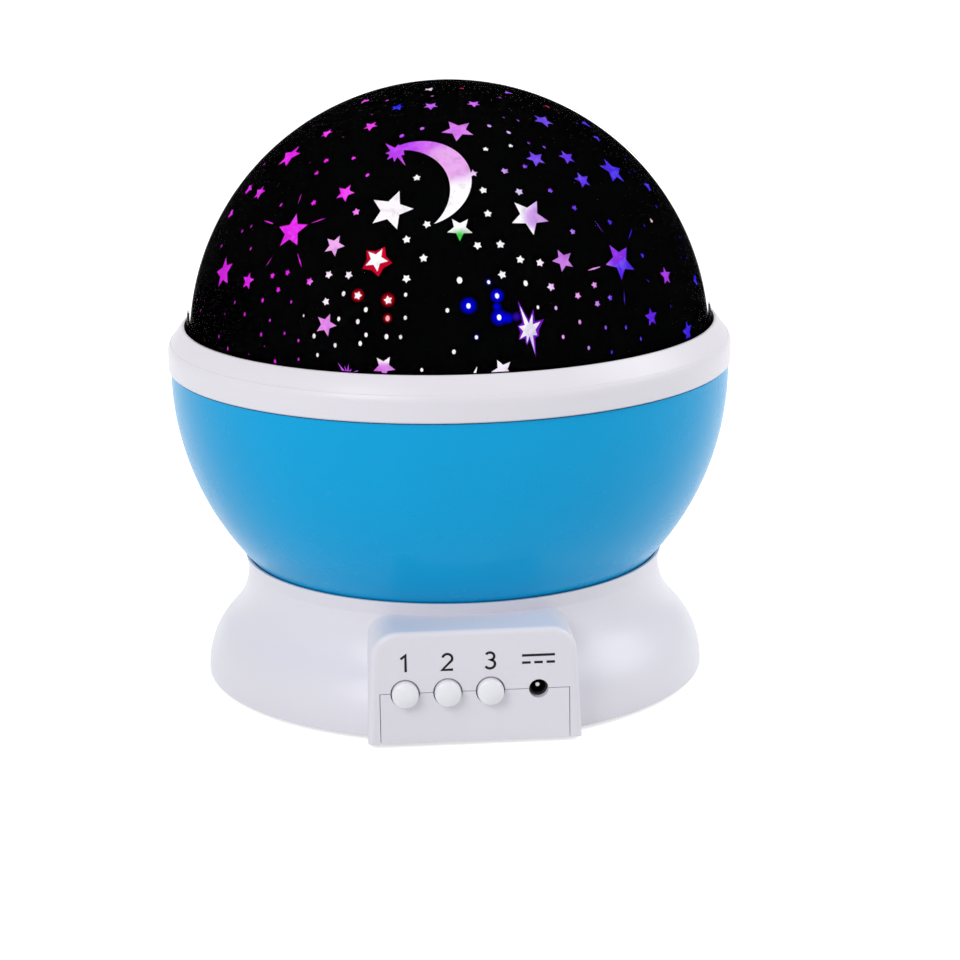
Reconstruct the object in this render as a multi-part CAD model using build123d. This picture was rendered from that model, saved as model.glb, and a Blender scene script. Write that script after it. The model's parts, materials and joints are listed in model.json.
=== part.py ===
"""Star night light projector: a pierced dome turns with its bowl on a flared base.

Millimetres. +Z is up along the spin axis, the feet stand on z = 0, and the control panel faces -Y.
"""

import math
import os

from build123d import *

# ---- driving dimensions ---------------------------------------------------------------------

# battery bay: four AAA cells lie along X, side by side along Y
cell_length = 44.5
cell_radius = 5.25
cell_count = 4
cell_pitch = 11.2
cell_nipple_radius = 1.9
cell_nipple_length = 0.8
cell_float = 0.5            # free height above and below a cell
bay_centre_y = 6.1
bay_wall = 2.0
bay_roof = 1.3
contact_thickness = 0.4
leaf_height = 3.9           # how far a leaf contact stands off its plate
leaf_strip = 0.3
dimple_height = 1.3
dimple_radius = 1.6
contact_width = 8.0
contact_height = 9.0
leaf_width = 6.0
leaf_span = 7.0             # height of the bowed strip
terminal_width = 2.0
terminal_reach = 1.8        # beyond the bay's wall

# base
foot_height = 1.0           # rubber feet below the bottom cover
foot_radius = 4.0
foot_recess = 0.8
foot_inset = 6.0            # foot's centre inside the shell's skirt
foot_angle = 30.0           # degrees from the X axis
cover_thickness = 2.0
door_thickness = 1.4
door_gap = 0.3
door_side_margin = 1.25     # door's opening beyond the bay, at each end
door_edge_margin = 1.2      # door's opening beyond the bay, front and rear
door_rim = 1.2              # thicker land round the opening
door_nick_radius = 1.0
door_ribs = 5               # grip grooves
hook_x = 15.0               # hooks either side of the middle
hook_width = 8.0
hook_reach = 3.0            # beyond the opening's edge
hook_lift = 0.3             # above the cover's inner face
hook_thickness = 1.2
hook_slot_gap = 0.4         # either side of a hook
wire_space = 3.2            # between the battery bay's roof and the deck
deck_thickness = 2.0
base_foot_radius = 60.2
base_wall = 2.2
skirt_height = 0.5          # straight stretch below the flare
waist_above_deck = 6.0
waist_wall = 3.1            # wall at the waist, measured level
rim_above_deck = 9.3
rim_land = 0.6
dish_gap = 0.3              # bowl to dish, along the sphere
seam_gap = 0.15             # between base shell and bottom cover

# control panel box on the front of the base
panel_width = 48.4
panel_proud = 1.3           # ahead of the base's foot
panel_top_above_deck = 6.5
panel_wall = 2.0
panel_corner = 6.0
panel_draft = 1.3           # how far each end leans in from its foot to its top
panel_edge = 1.3
panel_tab_inset = 2.9       # each end of the cover's tab inside the panel's end
first_button_inset = 8.5    # first button's axis from the panel's left end
inlet_inset = 9.8           # DC inlet's axis from the panel's right end
inlet_spacing = 10.9        # last button to the DC inlet
control_height = 12.9       # axes of buttons and DC inlet, on the parting line
button_radius = 3.0
button_count = 3
button_proud = 2.5
button_travel = 1.5
button_gap = 0.3
button_flange = 0.9
button_flange_thickness = 0.8
inlet_hole_radius = 2.2
jack_bore_radius = 1.8
jack_width = 9.0
jack_pin_radius = 0.65
jack_depth = 9.8
jack_bore_depth = 8.2
jack_pin_root = 0.8         # pin's length in the jack's body
jack_below = 5.5            # body below and above the inlet's axis
jack_above = 4.2
plunger_side = 3.2
switch_side = 7.0
switch_depth = 7.0
board_thickness = 1.6
guide_depth = 1.25          # board's edge inside a guide
guide_lip = 0.75            # guide's cheeks over the board's faces
guide_height = 10.0
board_height = 16.6
chip_x = -6.0               # controller chip on the board's rear face
chip_width = 6.0
chip_height = 5.0
chip_thickness = 1.4

# bowl
bowl_outer_radius = 66.55
bowl_wall = 2.0
bowl_floor_radius = 41.0    # edge of the flat floor, outside
rim_above_centre = 1.2
glide_ring_thickness = 1.3
glide_ring_width = 4.5
glide_gap = 0.1
rib_count = 6
rib_thickness = 1.5
rib_height = 4.0
rib_turn = 15.0             # degrees from the X axis to the first rib

# drive
gear_module = 0.8
ring_teeth = 72
pinion_teeth = 14
pressure_angle = math.radians(20)
gear_backlash = 0.15
gear_face = 6.0
pinion_face = 5.0
gear_rim = 3.2              # gear ring behind its tooth roots
gear_axial_gap = 0.3
running_gap = 0.05
collar_wall = 2.0
collar_height = 5.0
plate_thickness = 2.0
plate_gap = 0.4             # gear ring to retaining plate
shaft_radius = 1.5
gearbox_width = 12.0
gearbox_depth = 10.0
gearbox_length = 9.0
motor_length = 15.0
strap_width = 5.0
strap_thickness = 1.0
strap_ear = 4.6

# centre tower and light source
column_radius = 12.0
column_wall = 2.0
column_foot = 1.5           # chamfer where the column stands on the pilot disc
post_radius = 3.5
post_circle = 20.0
tower_screw_circle = 25.5
board_boss_radius = 2.6
board_boss_circle = 13.2
board_boss_length = 10.0
window_above_motor = 8.0    # opening in the stem for the motor's leads
window_height = 4.4
window_width = 5.0
led_board_radius = 22.0
led_radius = 2.5
led_flange = 0.4
led_body = 6.1
led_above_seam = 2.5        # board's seat above the seam of bowl and ring
led_places = {"white": (1.0, 6.5), "red": (-14.5, -3.0), "green": (0.0, -8.5), "blue": (10.5, -4.0)}

# wiring looms, drawn as single tubes
led_lead_radius = 1.0
led_lead_x = 4.0
led_lead_bend = 6.0
lead_radius = 0.8
lead_bend = 4.5
battery_lead_inset = 5.5    # its end, inside the board's side
motor_lead_x = -3.0
motor_lead_drop_y = 2.0     # where the motor's lead runs down inside the stem

# rim ring and dome
ring_overhang = 0.6
ring_band = 6.5             # height of the upright band
ring_shoulder = 5.0         # radius of the band's rounded shoulder
ring_shoulder_turn = math.radians(26)
ring_step = 0.3             # ledge between shoulder and bevel
ring_groove = 0.35          # shadow gap between band and bowl
ring_height = 10.3
ring_top_land = 0.5
ring_skirt_depth = 4.5
ring_skirt_wall = 1.5
skirt_gap = 0.2             # ring's skirt to the bowl
ring_ledge = 4.6
ring_ledge_thickness = 1.5
dome_inset = 3.75           # dome's radius below the bowl's
dome_wall = 0.8
dome_centre_above_seam = 5.0
dome_skirt = 3.0
dome_gap = 0.3
mask_thickness = 0.8
mask_gap = 0.1
film_thickness = 0.4
peg_half_angle = 2.5        # degrees
peg_reach = 1.0             # inside the ring's bore
peg_height = 1.2
peg_count = 3
unlock_angle = 24.0         # degrees
reflector_thickness = 1.5
reflector_hole = 24.0
reflector_gap = 0.3         # plate to the ring's skirt
reflector_screw_inset = 0.2 # screws inside the middle of the ring's ledge

# screws: shanks are drawn at core size
screw_shank = 1.1
screw_head = 2.4
screw_head_height = 1.6
small_shank = 0.8
small_head = 1.7
small_head_height = 1.1
screw_slack = 0.3           # hole over shank where a screw passes through
thread_gap = 0.02           # pilot hole over core
screw_bite = 4.0            # length in the piece that it holds to
small_bite = 5.0
base_screw_length = 9.0
base_head_recess = 1.2
base_head_height = 1.0

# dome windows: name of the form, longitude from the front and latitude in degrees, size in mm
crescent_radius = 9.6
windows = [
    ("moon", -10, 47, crescent_radius), ("star", -23, 55, 3.2), ("star", 2, 62, 3.9), ("star", -18, 40, 4.2),
    ("star", 18, 37, 4.3), ("star", 0, 35, 2.7), ("star", -20, 28, 2.6), ("star", -47, 32, 3.6),
    ("star", 40, 25, 3.6), ("star", 24, 27, 2.5), ("burst", 13, 13, 4.8), ("star", -31, 14, 2.6),
    ("star", -17, 8.5, 2.6), ("star", -32, 31, 2.3), ("star", -34, 43, 2.3), ("star", -68, 21, 3.2),
    ("star", -73, 50, 3.3), ("star", 59, 45, 3.2), ("star", 41, 48, 2.4), ("star", 29, 52, 2.4),
    ("star", 61, 8.5, 2.8), ("star", 46, 13, 2.3), ("star", -43, 63, 2.3), ("star", 52, 62, 2.3),
    ("star", 77, 25, 2.6), ("star", 77, 58, 2.4), ("star", -14, 76, 2.2),
]
repeats = 2                 # the pattern runs this many times round the dome

# ---- derived places -------------------------------------------------------------------------

cover_z = foot_height
cover_top = cover_z + cover_thickness
ledge_z = cover_z + door_thickness + door_gap
cell_z = ledge_z + cell_float + cell_radius
bay_roof_z = cell_z + cell_radius + cell_float
bay_top = bay_roof_z + bay_roof
deck_under = bay_top + wire_space
deck_z = deck_under + deck_thickness
bay_half_x = (cell_length + 2 * contact_thickness + leaf_height + dimple_height) / 2 + 0.01
bay_half_y = (cell_count * cell_pitch + 1.0) / 2
terminal_y = bay_centre_y - bay_half_y - bay_wall - terminal_reach

bowl_inner_radius = bowl_outer_radius - bowl_wall
bowl_floor_z = deck_z + glide_ring_thickness + glide_gap
bowl_floor_top = bowl_floor_z + bowl_wall
bowl_centre_z = bowl_floor_z + math.sqrt(bowl_outer_radius**2 - bowl_floor_radius**2)
seam_z = bowl_centre_z + rim_above_centre

dish_radius = bowl_outer_radius + dish_gap
waist_z = deck_z + waist_above_deck
rim_z = deck_z + rim_above_deck
skirt_z = cover_z + skirt_height
base_inner_radius = base_foot_radius - base_wall

ring_pitch_radius = gear_module * ring_teeth / 2
pinion_pitch_radius = gear_module * pinion_teeth / 2
ring_tip_radius = ring_pitch_radius - 0.6 * gear_module
ring_root_radius = ring_pitch_radius + 1.25 * gear_module
pinion_tip_radius = pinion_pitch_radius + gear_module
pinion_root_radius = pinion_pitch_radius - 1.25 * gear_module
drive_offset = ring_pitch_radius - pinion_pitch_radius
gear_outer_radius = ring_root_radius + gear_rim
floor_bore_radius = ring_root_radius + 0.2
pilot_radius = floor_bore_radius - running_gap
pilot_top = bowl_floor_top - gear_axial_gap
gear_top = bowl_floor_top + gear_face
plate_z = gear_top + plate_gap
plate_top = plate_z + plate_thickness
plate_radius = gear_outer_radius - 1.5
plate_hole = board_boss_circle + board_boss_radius + 0.4
pinion_z = pilot_top + 0.8
led_board_z = seam_z + led_above_seam
led_board_top = led_board_z + board_thickness
motor_top = plate_top + gearbox_length + motor_length
window_z = motor_top + window_above_motor
glide_ring_outer = (bowl_floor_radius + floor_bore_radius + glide_ring_width) / 2
strap_half = gearbox_width / 2 + 0.1
strap_screw_x = strap_half + strap_thickness + strap_ear / 2
lead_z = bay_top + wire_space / 2
foot_x = (base_inner_radius - foot_inset) * math.cos(math.radians(foot_angle))
foot_y = (base_inner_radius - foot_inset) * math.sin(math.radians(foot_angle))

panel_half = panel_width / 2
first_button_x = -panel_half + first_button_inset
inlet_x = panel_half - inlet_inset
button_pitch = (inlet_x - first_button_x - inlet_spacing) / (button_count - 1)
tab_half = panel_half - panel_tab_inset
panel_y = -(base_foot_radius + panel_proud)
panel_back_y = panel_y + panel_wall
panel_top = deck_z + panel_top_above_deck
panel_lean = math.atan(panel_draft / (panel_top - cover_z))
tongue_half = panel_half - panel_wall - seam_gap - cover_thickness * math.tan(panel_lean)
guide_half = tongue_half - guide_height * math.tan(panel_lean)
board_half = guide_half - guide_depth
panel_depth = 22.0
parting_z = control_height
flange_y = panel_back_y + 0.2
switch_y = flange_y + button_flange_thickness + button_travel + 0.6
board_y = switch_y + switch_depth
button_places = [first_button_x + i * button_pitch for i in range(button_count)]

ring_outer_radius = bowl_outer_radius + ring_overhang
dome_radius = bowl_outer_radius - dome_inset
dome_inner_radius = dome_radius - dome_wall
dome_centre_z = seam_z + dome_centre_above_seam
dome_foot_z = dome_centre_z - dome_skirt
mask_radius = dome_inner_radius - mask_gap
mask_inner_radius = mask_radius - mask_thickness
film_radius = mask_inner_radius - 0.05
film_inner_radius = film_radius - film_thickness
ring_bore_radius = dome_radius + dome_gap
reflector_screw_circle = ring_bore_radius - ring_ledge / 2 - reflector_screw_inset
ring_top = seam_z + ring_height
ledge_top = dome_foot_z - mask_thickness - dome_gap
ledge_bottom = ledge_top - ring_ledge_thickness
peg_z = dome_foot_z + 2.0
peg_places = [90 + 360 * i / peg_count for i in range(peg_count)]

base_screw_circle = bowl_floor_radius + 4.5
base_boss_radius = 3.5
diagonals = [45 + 90 * i for i in range(4)]

# ---- helpers --------------------------------------------------------------------------------


def outline(*steps):
    """Face inside a closed outline: a point is a straight step, a pair [through, end] an arc."""
    edges = []
    here = steps[0]
    for step in steps[1:] + (steps[0],):
        if isinstance(step, list):
            edges.append(ThreePointArc(here, step[0], step[1]))
            here = step[1]
        elif math.dist(here, step) > 1e-6:
            edges.append(Line(here, step))
            here = step
    return make_face(Wire([edge.edges()[0] for edge in edges]))


def turned(*steps):
    """Solid of revolution about Z from an outline in radius and height."""
    return revolve(Plane.XZ * outline(*steps), Axis.Z)


def ball_r(radius, centre_z, z):
    """Level distance from the spin axis to a sphere's surface at height z; exactly 0 at its pole."""
    square = radius**2 - (z - centre_z) ** 2
    return math.sqrt(square) if square > 1e-6 else 0.0


def ball_arc(radius, centre_z, z_from, z_to):
    """Arc step along a sphere's outline from one height to another."""
    z_mid = (z_from + z_to) / 2
    return [(ball_r(radius, centre_z, z_mid), z_mid), (ball_r(radius, centre_z, z_to), z_to)]


def block(x0, x1, y0, y1, z0, z1):
    """Box between two corners."""
    return Pos((x0 + x1) / 2, (y0 + y1) / 2, (z0 + z1) / 2) * Box(x1 - x0, y1 - y0, z1 - z0)


def rod(radius, z0, z1, x=0.0, y=0.0):
    """Upright cylinder."""
    return Pos(x, y, (z0 + z1) / 2) * Cylinder(radius, z1 - z0)


def rod_y(radius, y0, y1, x, z):
    """Cylinder along Y."""
    return Pos(x, (y0 + y1) / 2, z) * Rot(90, 0, 0) * Cylinder(radius, y1 - y0)


def rod_x(radius, x0, x1, y, z):
    """Cylinder along X."""
    return Pos((x0 + x1) / 2, y, z) * Rot(0, 90, 0) * Cylinder(radius, x1 - x0)


def sector(r0, r1, z0, z1, centre, half):
    """Part of a ring about Z, from centre - half to centre + half degrees."""
    band = Plane.XZ * outline((r0, z0), (r1, z0), (r1, z1), (r0, z1))
    return Rot(0, 0, centre - half) * revolve(band, Axis.Z, revolution_arc=2 * half)


def around(radius, degrees):
    """Point on a circle about Z."""
    return radius * math.cos(math.radians(degrees)), radius * math.sin(math.radians(degrees))


def screw_up(x, y, z, length, shank=screw_shank, head=screw_head, head_height=screw_head_height):
    """Pan-head screw driven upwards, its head's seat at z."""
    return rod(head, z - head_height, z, x, y) + rod(shank, z, z + length, x, y)


def screw_down(x, y, z, length, shank=screw_shank, head=screw_head, head_height=screw_head_height):
    """Pan-head screw driven downwards, its head's seat at z."""
    return rod(head, z, z + head_height, x, y) + rod(shank, z - length, z, x, y)


def tube(radius, points, bend):
    """Round lead along straight runs joined by arcs of one bend radius."""
    route = FilletPolyline(*points, radius=bend) if len(points) > 2 else Line(*points)
    start = Plane(origin=route @ 0, z_dir=route % 0)
    return sweep(start * Circle(radius), path=route)


# ---- base -----------------------------------------------------------------------------------


def flare(offset):
    """Base's side as two tangent arcs, moved inwards by offset: the steps above its foot."""
    waist_radius = ball_r(dish_radius, bowl_centre_z, waist_z) + waist_wall
    run, rise = base_foot_radius - waist_radius, waist_z - skirt_z
    bend = (run**2 + rise**2) / (4 * run)
    low_x, high_x = base_foot_radius - bend, waist_radius + bend
    turn = math.asin(rise / 2 / bend)
    low, high = bend - offset, bend + offset
    half = turn / 2
    return [
        [(low_x + low * math.cos(half), skirt_z + low * math.sin(half)),
         (low_x + low * math.cos(turn), skirt_z + low * math.sin(turn))],
        [(high_x - high * math.cos(half), waist_z - high * math.sin(half)),
         (high_x - high, waist_z)],
    ]


def panel_box(inset):
    """Control panel's box, or its hollow when inset is the wall."""
    half = panel_half - inset / math.cos(panel_lean)
    top, corner = panel_top - inset, panel_corner - inset
    middle_z = top - corner
    middle_x = half - (corner + (middle_z - cover_z) * math.sin(panel_lean)) / math.cos(panel_lean)

    def corner_point(side, angle):
        return side * (middle_x + corner * math.cos(angle)), middle_z + corner * math.sin(angle)

    diagonal = math.pi / 4 + panel_lean / 2
    face = outline((-half, cover_z), (half, cover_z), corner_point(1, panel_lean),
                   [corner_point(1, diagonal), (middle_x, top)], (-middle_x, top),
                   [corner_point(-1, diagonal), corner_point(-1, panel_lean)])
    front = Plane(origin=(0, panel_y + inset + panel_depth, 0), x_dir=(1, 0, 0), z_dir=(0, -1, 0))
    return extrude(front * face, panel_depth)


def button_hole(x):
    """Hole for one button through the panel's wall."""
    return rod_y(button_radius + button_gap, panel_y - 1, panel_back_y + 0.1, x, control_height)


def inlet_hole():
    """Hole for the DC plug through the panel's wall."""
    return rod_y(inlet_hole_radius, panel_y - 1, panel_back_y + 0.1, inlet_x, control_height)


def make_base_shell():
    """Flared shell with a dish for the bowl, a flat deck, the panel box and screw bosses."""
    rim_inner = ball_r(dish_radius, bowl_centre_z, rim_z)
    form = turned((0, cover_z), (base_foot_radius, cover_z), (base_foot_radius, skirt_z), *flare(0),
                  (rim_inner + rim_land, rim_z), (rim_inner, rim_z),
                  ball_arc(dish_radius, bowl_centre_z, rim_z, deck_z), (0, deck_z))
    box = panel_box(0)
    front_edges = [edge for edge in box.faces().sort_by(Axis.Y)[0].edges()
                   if edge.center().Z > cover_z + 0.1]
    box = fillet(front_edges, panel_edge)
    dish = Pos(0, 0, bowl_centre_z) * Sphere(dish_radius)
    form = form + (box - dish)
    hollow = turned((0, cover_z), (base_inner_radius, cover_z), (base_inner_radius, skirt_z),
                    *flare(base_wall), (0, waist_z))
    hollow = hollow + panel_box(panel_wall)
    lid = Pos(0, 0, bowl_centre_z) * Sphere(dish_radius + deck_thickness)
    lid = lid & rod(base_foot_radius, deck_under, waist_z + deck_thickness)
    shell = form - (hollow - lid)
    boss_limit = Pos(0, 0, bowl_centre_z) * Sphere(dish_radius + deck_thickness / 2)
    for degrees in diagonals:
        x, y = around(base_screw_circle, degrees)
        boss = rod(base_boss_radius, cover_top, waist_z - 1, x, y) - boss_limit
        shell = shell + boss
        shell = shell - rod(screw_shank + thread_gap, cover_top - 1, cover_z + base_screw_length + 2, x, y)
        x, y = around(tower_screw_circle, degrees)
        shell = shell - rod(screw_shank + screw_slack, deck_under - 1, deck_z + 1, x, y)
    shell = shell - rod(column_radius - column_wall, deck_under - 1, deck_z + 1)
    cut_half = tab_half + seam_gap
    shell = shell - block(-cut_half, cut_half, panel_y - 1, panel_back_y, 0, parting_z + seam_gap)
    for x in button_places:
        shell = shell - button_hole(x)
    return shell - inlet_hole()


def door_opening():
    """Level rectangle that the battery door fills: half width in X, then both Y edges."""
    reach = bay_half_y + door_edge_margin
    return bay_half_x + door_side_margin, bay_centre_y - reach, bay_centre_y + reach


def make_bottom_cover():
    """Bottom plate with the battery bay, the board guides and the panel's lower half."""
    plate = rod(base_inner_radius - 0.2, cover_z, cover_top)
    plate = plate + block(-tongue_half, tongue_half, panel_back_y + seam_gap, -base_inner_radius / 2,
                          cover_z, cover_top)
    plate = plate + block(-tab_half, tab_half, panel_y, panel_back_y + 2, cover_z, cover_top)
    tab = block(-tab_half, tab_half, panel_y, panel_back_y, cover_z, parting_z)
    for x in button_places:
        tab = tab - button_hole(x)
    cover = plate + (tab - inlet_hole())

    wall_x, wall_y = bay_half_x + bay_wall, bay_half_y + bay_wall
    cover = cover + block(-wall_x, wall_x, bay_centre_y - wall_y, bay_centre_y + wall_y, cover_z, bay_top)
    cover = cover - block(-bay_half_x, bay_half_x, bay_centre_y - bay_half_y, bay_centre_y + bay_half_y,
                          cover_z - 1, bay_roof_z)
    half_x, low_y, high_y = door_opening()
    cover = cover + (block(-half_x - door_rim, half_x + door_rim, low_y - door_rim, high_y + door_rim,
                           cover_z, cover_top + 1)
                     - block(-bay_half_x, bay_half_x, bay_centre_y - bay_half_y,
                             bay_centre_y + bay_half_y, cover_z - 1, bay_roof_z))
    cover = cover - block(-half_x, half_x, low_y, high_y, cover_z - 1, ledge_z)
    for side in (-1, 1):
        slot = hook_width / 2 + hook_slot_gap
        cover = cover - block(side * hook_x - slot, side * hook_x + slot, bay_centre_y + bay_half_y - 0.1,
                              high_y + hook_reach + 1.2, cover_top, cover_top + 4.5)
        cover = cover - block(side * hook_x - slot, side * hook_x + slot, bay_centre_y + bay_half_y - 0.1,
                              high_y, ledge_z - 0.1, cover_top + 0.1)
    slot_y = bay_centre_y - bay_half_y
    cover = cover - block(bay_half_x - contact_thickness - 0.1, bay_half_x + 0.1, slot_y - bay_wall - 0.1,
                          slot_y + 0.1, cell_z - terminal_width / 2 - 0.2, cell_z + terminal_width / 2 + 0.2)
    for side in (-1, 1):
        low, high = sorted((side * (board_half - guide_lip), side * guide_half))
        guide = block(low, high, board_y - 2, board_y + board_thickness + 2, cover_top - 0.5,
                      cover_top + guide_height)
        cover = cover + guide
    cover = cover - block(-board_half - 0.1, board_half + 0.1, board_y - 0.1,
                          board_y + board_thickness + 0.1, cover_top, cover_top + guide_height + 1)
    for degrees in diagonals:
        x, y = around(base_screw_circle, degrees)
        cover = cover - rod(screw_shank + screw_slack, cover_z - 1, cover_top + 1, x, y)
        cover = cover - rod(screw_head + screw_slack, cover_z - 1, cover_z + base_head_recess, x, y)
    for x in (-foot_x, foot_x):
        for y in (-foot_y, foot_y):
            cover = cover - rod(foot_radius + running_gap, cover_z - 1, cover_z + foot_recess, x, y)
    return cover


def make_feet():
    """Four rubber pads set into the bottom cover."""
    pads = []
    for x in (-foot_x, foot_x):
        for y in (-foot_y, foot_y):
            pad = rod(foot_radius, 0, cover_z + foot_recess, x, y)
            pads.append(fillet(pad.edges().group_by(Axis.Z)[0], 0.3))
    return pads


def make_base_screws():
    """Four screws from below through the bottom cover into the shell's bosses."""
    return [screw_up(*around(base_screw_circle, d), cover_z + base_head_recess, base_screw_length,
                     head_height=base_head_height) for d in diagonals]


def make_battery_door():
    """Door with two hooks on its rear edge and a finger nick on its front edge."""
    half_x, low_y, high_y = door_opening()
    gap = door_gap
    door = block(-half_x + gap, half_x - gap, low_y + gap, high_y - gap, cover_z, cover_z + door_thickness)
    lift_z = cover_top + hook_lift
    for side in (-1, 1):
        x0, x1 = side * hook_x - hook_width / 2, side * hook_x + hook_width / 2
        door = door + block(x0, x1, high_y - gap - 1.5, high_y - gap, cover_z, lift_z + hook_thickness)
        door = door + block(x0, x1, high_y - gap - 1.5, high_y + hook_reach, lift_z, lift_z + hook_thickness)
    door = door - rod_x(door_nick_radius, -8, 8, low_y, cover_z)
    for i in range(door_ribs):
        y = low_y + 4 + 1.8 * i
        door = door - block(-9, 9, y, y + 0.8, cover_z - 1, cover_z + 0.4)
    return door


def cell_place(index):
    """Y of one cell, and +1 or -1 for the end that its nipple faces."""
    y = bay_centre_y + (index - (cell_count - 1) / 2) * cell_pitch
    return y, 1 if index % 2 == 0 else -1


def make_cell(index):
    """One AAA cell, nipple against its dimpled contact."""
    y, way = cell_place(index)
    nipple_x = way * (bay_half_x - contact_thickness - dimple_height - 0.005)
    shoulder = nipple_x - way * cell_nipple_length
    low, high = sorted((shoulder, nipple_x - way * cell_length))
    can = rod_x(cell_radius, low, high, y, cell_z)
    can = fillet(can.edges().filter_by(GeomType.CIRCLE), 0.5)
    low, high = sorted((shoulder - way * 0.1, nipple_x))
    return can + rod_x(cell_nipple_radius, low, high, y, cell_z)


def make_battery_springs():
    """Leaf contacts at the flat ends of the cells, each a bowed strip on a plate."""
    leaves = []
    wall, half_height = bay_half_x, contact_height / 2
    root = wall - contact_thickness
    outer, inner = leaf_span / 2, leaf_span / 2 - leaf_strip
    for index in range(cell_count):
        y, way = cell_place(index)
        strip = outline((root, cell_z - outer), [(root - leaf_height, cell_z), (root, cell_z + outer)],
                        (root, cell_z + inner),
                        [(root - leaf_height + leaf_strip, cell_z), (root, cell_z - inner)])
        side = Plane(origin=(0, y + leaf_width / 2, 0), x_dir=(1, 0, 0), z_dir=(0, -1, 0))
        strip = extrude(side * strip, leaf_width)
        plate = block(root, wall, y - contact_width / 2, y + contact_width / 2, cell_z - half_height,
                      cell_z + half_height)
        leaf = plate + strip
        if way > 0:
            leaf = mirror(leaf, about=Plane.YZ)
        leaves.append(leaf)
    return leaves


def make_battery_plates():
    """Dimpled contacts at the nipple ends; the first one has the terminal tab."""
    plates = []
    half_height = contact_height / 2
    for index in range(cell_count):
        y, way = cell_place(index)
        low, high = sorted((way * bay_half_x, way * (bay_half_x - contact_thickness)))
        plate = block(low, high, y - contact_width / 2, y + contact_width / 2, cell_z - half_height,
                      cell_z + half_height)
        low, high = sorted((way * (bay_half_x - contact_thickness),
                            way * (bay_half_x - contact_thickness - dimple_height)))
        plate = plate + rod_x(dimple_radius, low, high, y, cell_z)
        if index == 0:
            low, high = sorted((way * bay_half_x, way * (bay_half_x - contact_thickness)))
            plate = plate + block(low, high, terminal_y, y, cell_z - terminal_width / 2,
                                  cell_z + terminal_width / 2)
        plates.append(plate)
    return plates


# ---- controls -------------------------------------------------------------------------------


def make_control_board():
    """Upright circuit board behind the panel, in the cover's guides."""
    back = board_y + board_thickness
    board = block(-board_half, board_half, board_y, back, cover_top, cover_top + board_height)
    return board + block(chip_x, chip_x + chip_width, back, back + chip_thickness, cover_top + 3,
                         cover_top + 3 + chip_height)


def make_switch_body(x):
    """Latching push switch, open at the front for its plunger."""
    side, hole = switch_side / 2, plunger_side / 2 + button_gap
    body = block(x - side, x + side, switch_y, board_y, control_height - side, control_height + side)
    return body - block(x - hole, x + hole, switch_y - 1, switch_y + 5.5, control_height - hole,
                        control_height + hole)


def make_plunger(x):
    """Square switch plunger that carries the cap."""
    side = plunger_side / 2
    return block(x - side, x + side, panel_y, switch_y + 3.4, control_height - side, control_height + side)


def make_button_cap(x):
    """Round cap with a crowned face, a flange behind the panel and a socket for the plunger."""
    front = panel_y - button_proud
    crown = 0.5
    back = flange_y + button_flange_thickness
    form = outline((0, front), [(button_radius * 0.45, front + 0.1), (button_radius - 0.6, front + crown)],
                   [(button_radius - 0.15, front + crown + 0.3), (button_radius, front + crown + 0.8)],
                   (button_radius, flange_y), (button_radius + button_flange, flange_y),
                   (button_radius + button_flange, back), (0, back))
    cap = revolve(form, Axis.Y)
    cap = Pos(x, 0, control_height) * cap
    socket = plunger_side / 2 + thread_gap
    return cap - block(x - socket, x + socket, panel_y, back + 1, control_height - socket,
                       control_height + socket)


def make_dc_jack():
    """Inlet body on the board, with a round well for the plug."""
    half = jack_width / 2
    front = board_y - jack_depth
    body = block(inlet_x - half, inlet_x + half, front, board_y, control_height - jack_below,
                 control_height + jack_above)
    body = body - rod_y(jack_bore_radius, front - 1, front + jack_bore_depth, inlet_x, control_height)
    return body - rod_y(jack_pin_radius + thread_gap, front + jack_bore_depth - 0.2,
                        front + jack_bore_depth + jack_pin_root, inlet_x, control_height)


def make_jack_pin():
    """Centre pin of the inlet."""
    front = board_y - jack_depth
    pin = rod_y(jack_pin_radius, front + 0.5, front + jack_bore_depth + jack_pin_root, inlet_x,
                control_height)
    return fillet(pin.edges().group_by(Axis.Y)[0], 0.3)


# ---- centre tower, drive and light ------------------------------------------------------------


def make_center_tower():
    """Pilot disc that the bowl turns on, posts for the plate and the hollow stem."""
    core = column_radius - column_wall
    tower = turned((core, deck_z), (pilot_radius, deck_z), (pilot_radius, pilot_top),
                   (column_radius + column_foot, pilot_top), (column_radius, pilot_top + column_foot),
                   (column_radius, led_board_z), (core, led_board_z))
    for degrees in diagonals:
        x, y = around(post_circle, degrees)
        tower = tower + rod(post_radius, pilot_top - 0.5, plate_z, x, y)
        tower = tower - rod(screw_shank + thread_gap, plate_z - screw_bite - 0.5, plate_z + 1, x, y)
        x, y = around(tower_screw_circle, degrees)
        tower = tower - rod(screw_shank + thread_gap, deck_z - 1, pilot_top - 0.6, x, y)
    for degrees in peg_places:
        x, y = around(board_boss_circle, degrees + 180)
        tower = tower + (rod(board_boss_radius, led_board_z - board_boss_length, led_board_z, x, y)
                         - rod(core, led_board_z - board_boss_length - 1, led_board_z + 1))
        tower = tower - rod(small_shank + thread_gap, led_board_z - small_bite - 1, led_board_z + 1, x, y)
    return tower - block(motor_lead_x - window_width / 2, motor_lead_x + window_width / 2, 0, column_radius + 1,
                         window_z - window_height / 2, window_z + window_height / 2)


def make_tower_screws():
    """Four screws from below the deck into the tower."""
    return [screw_up(*around(tower_screw_circle, d), deck_under, pilot_top - deck_under - 0.8)
            for d in diagonals]


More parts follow.
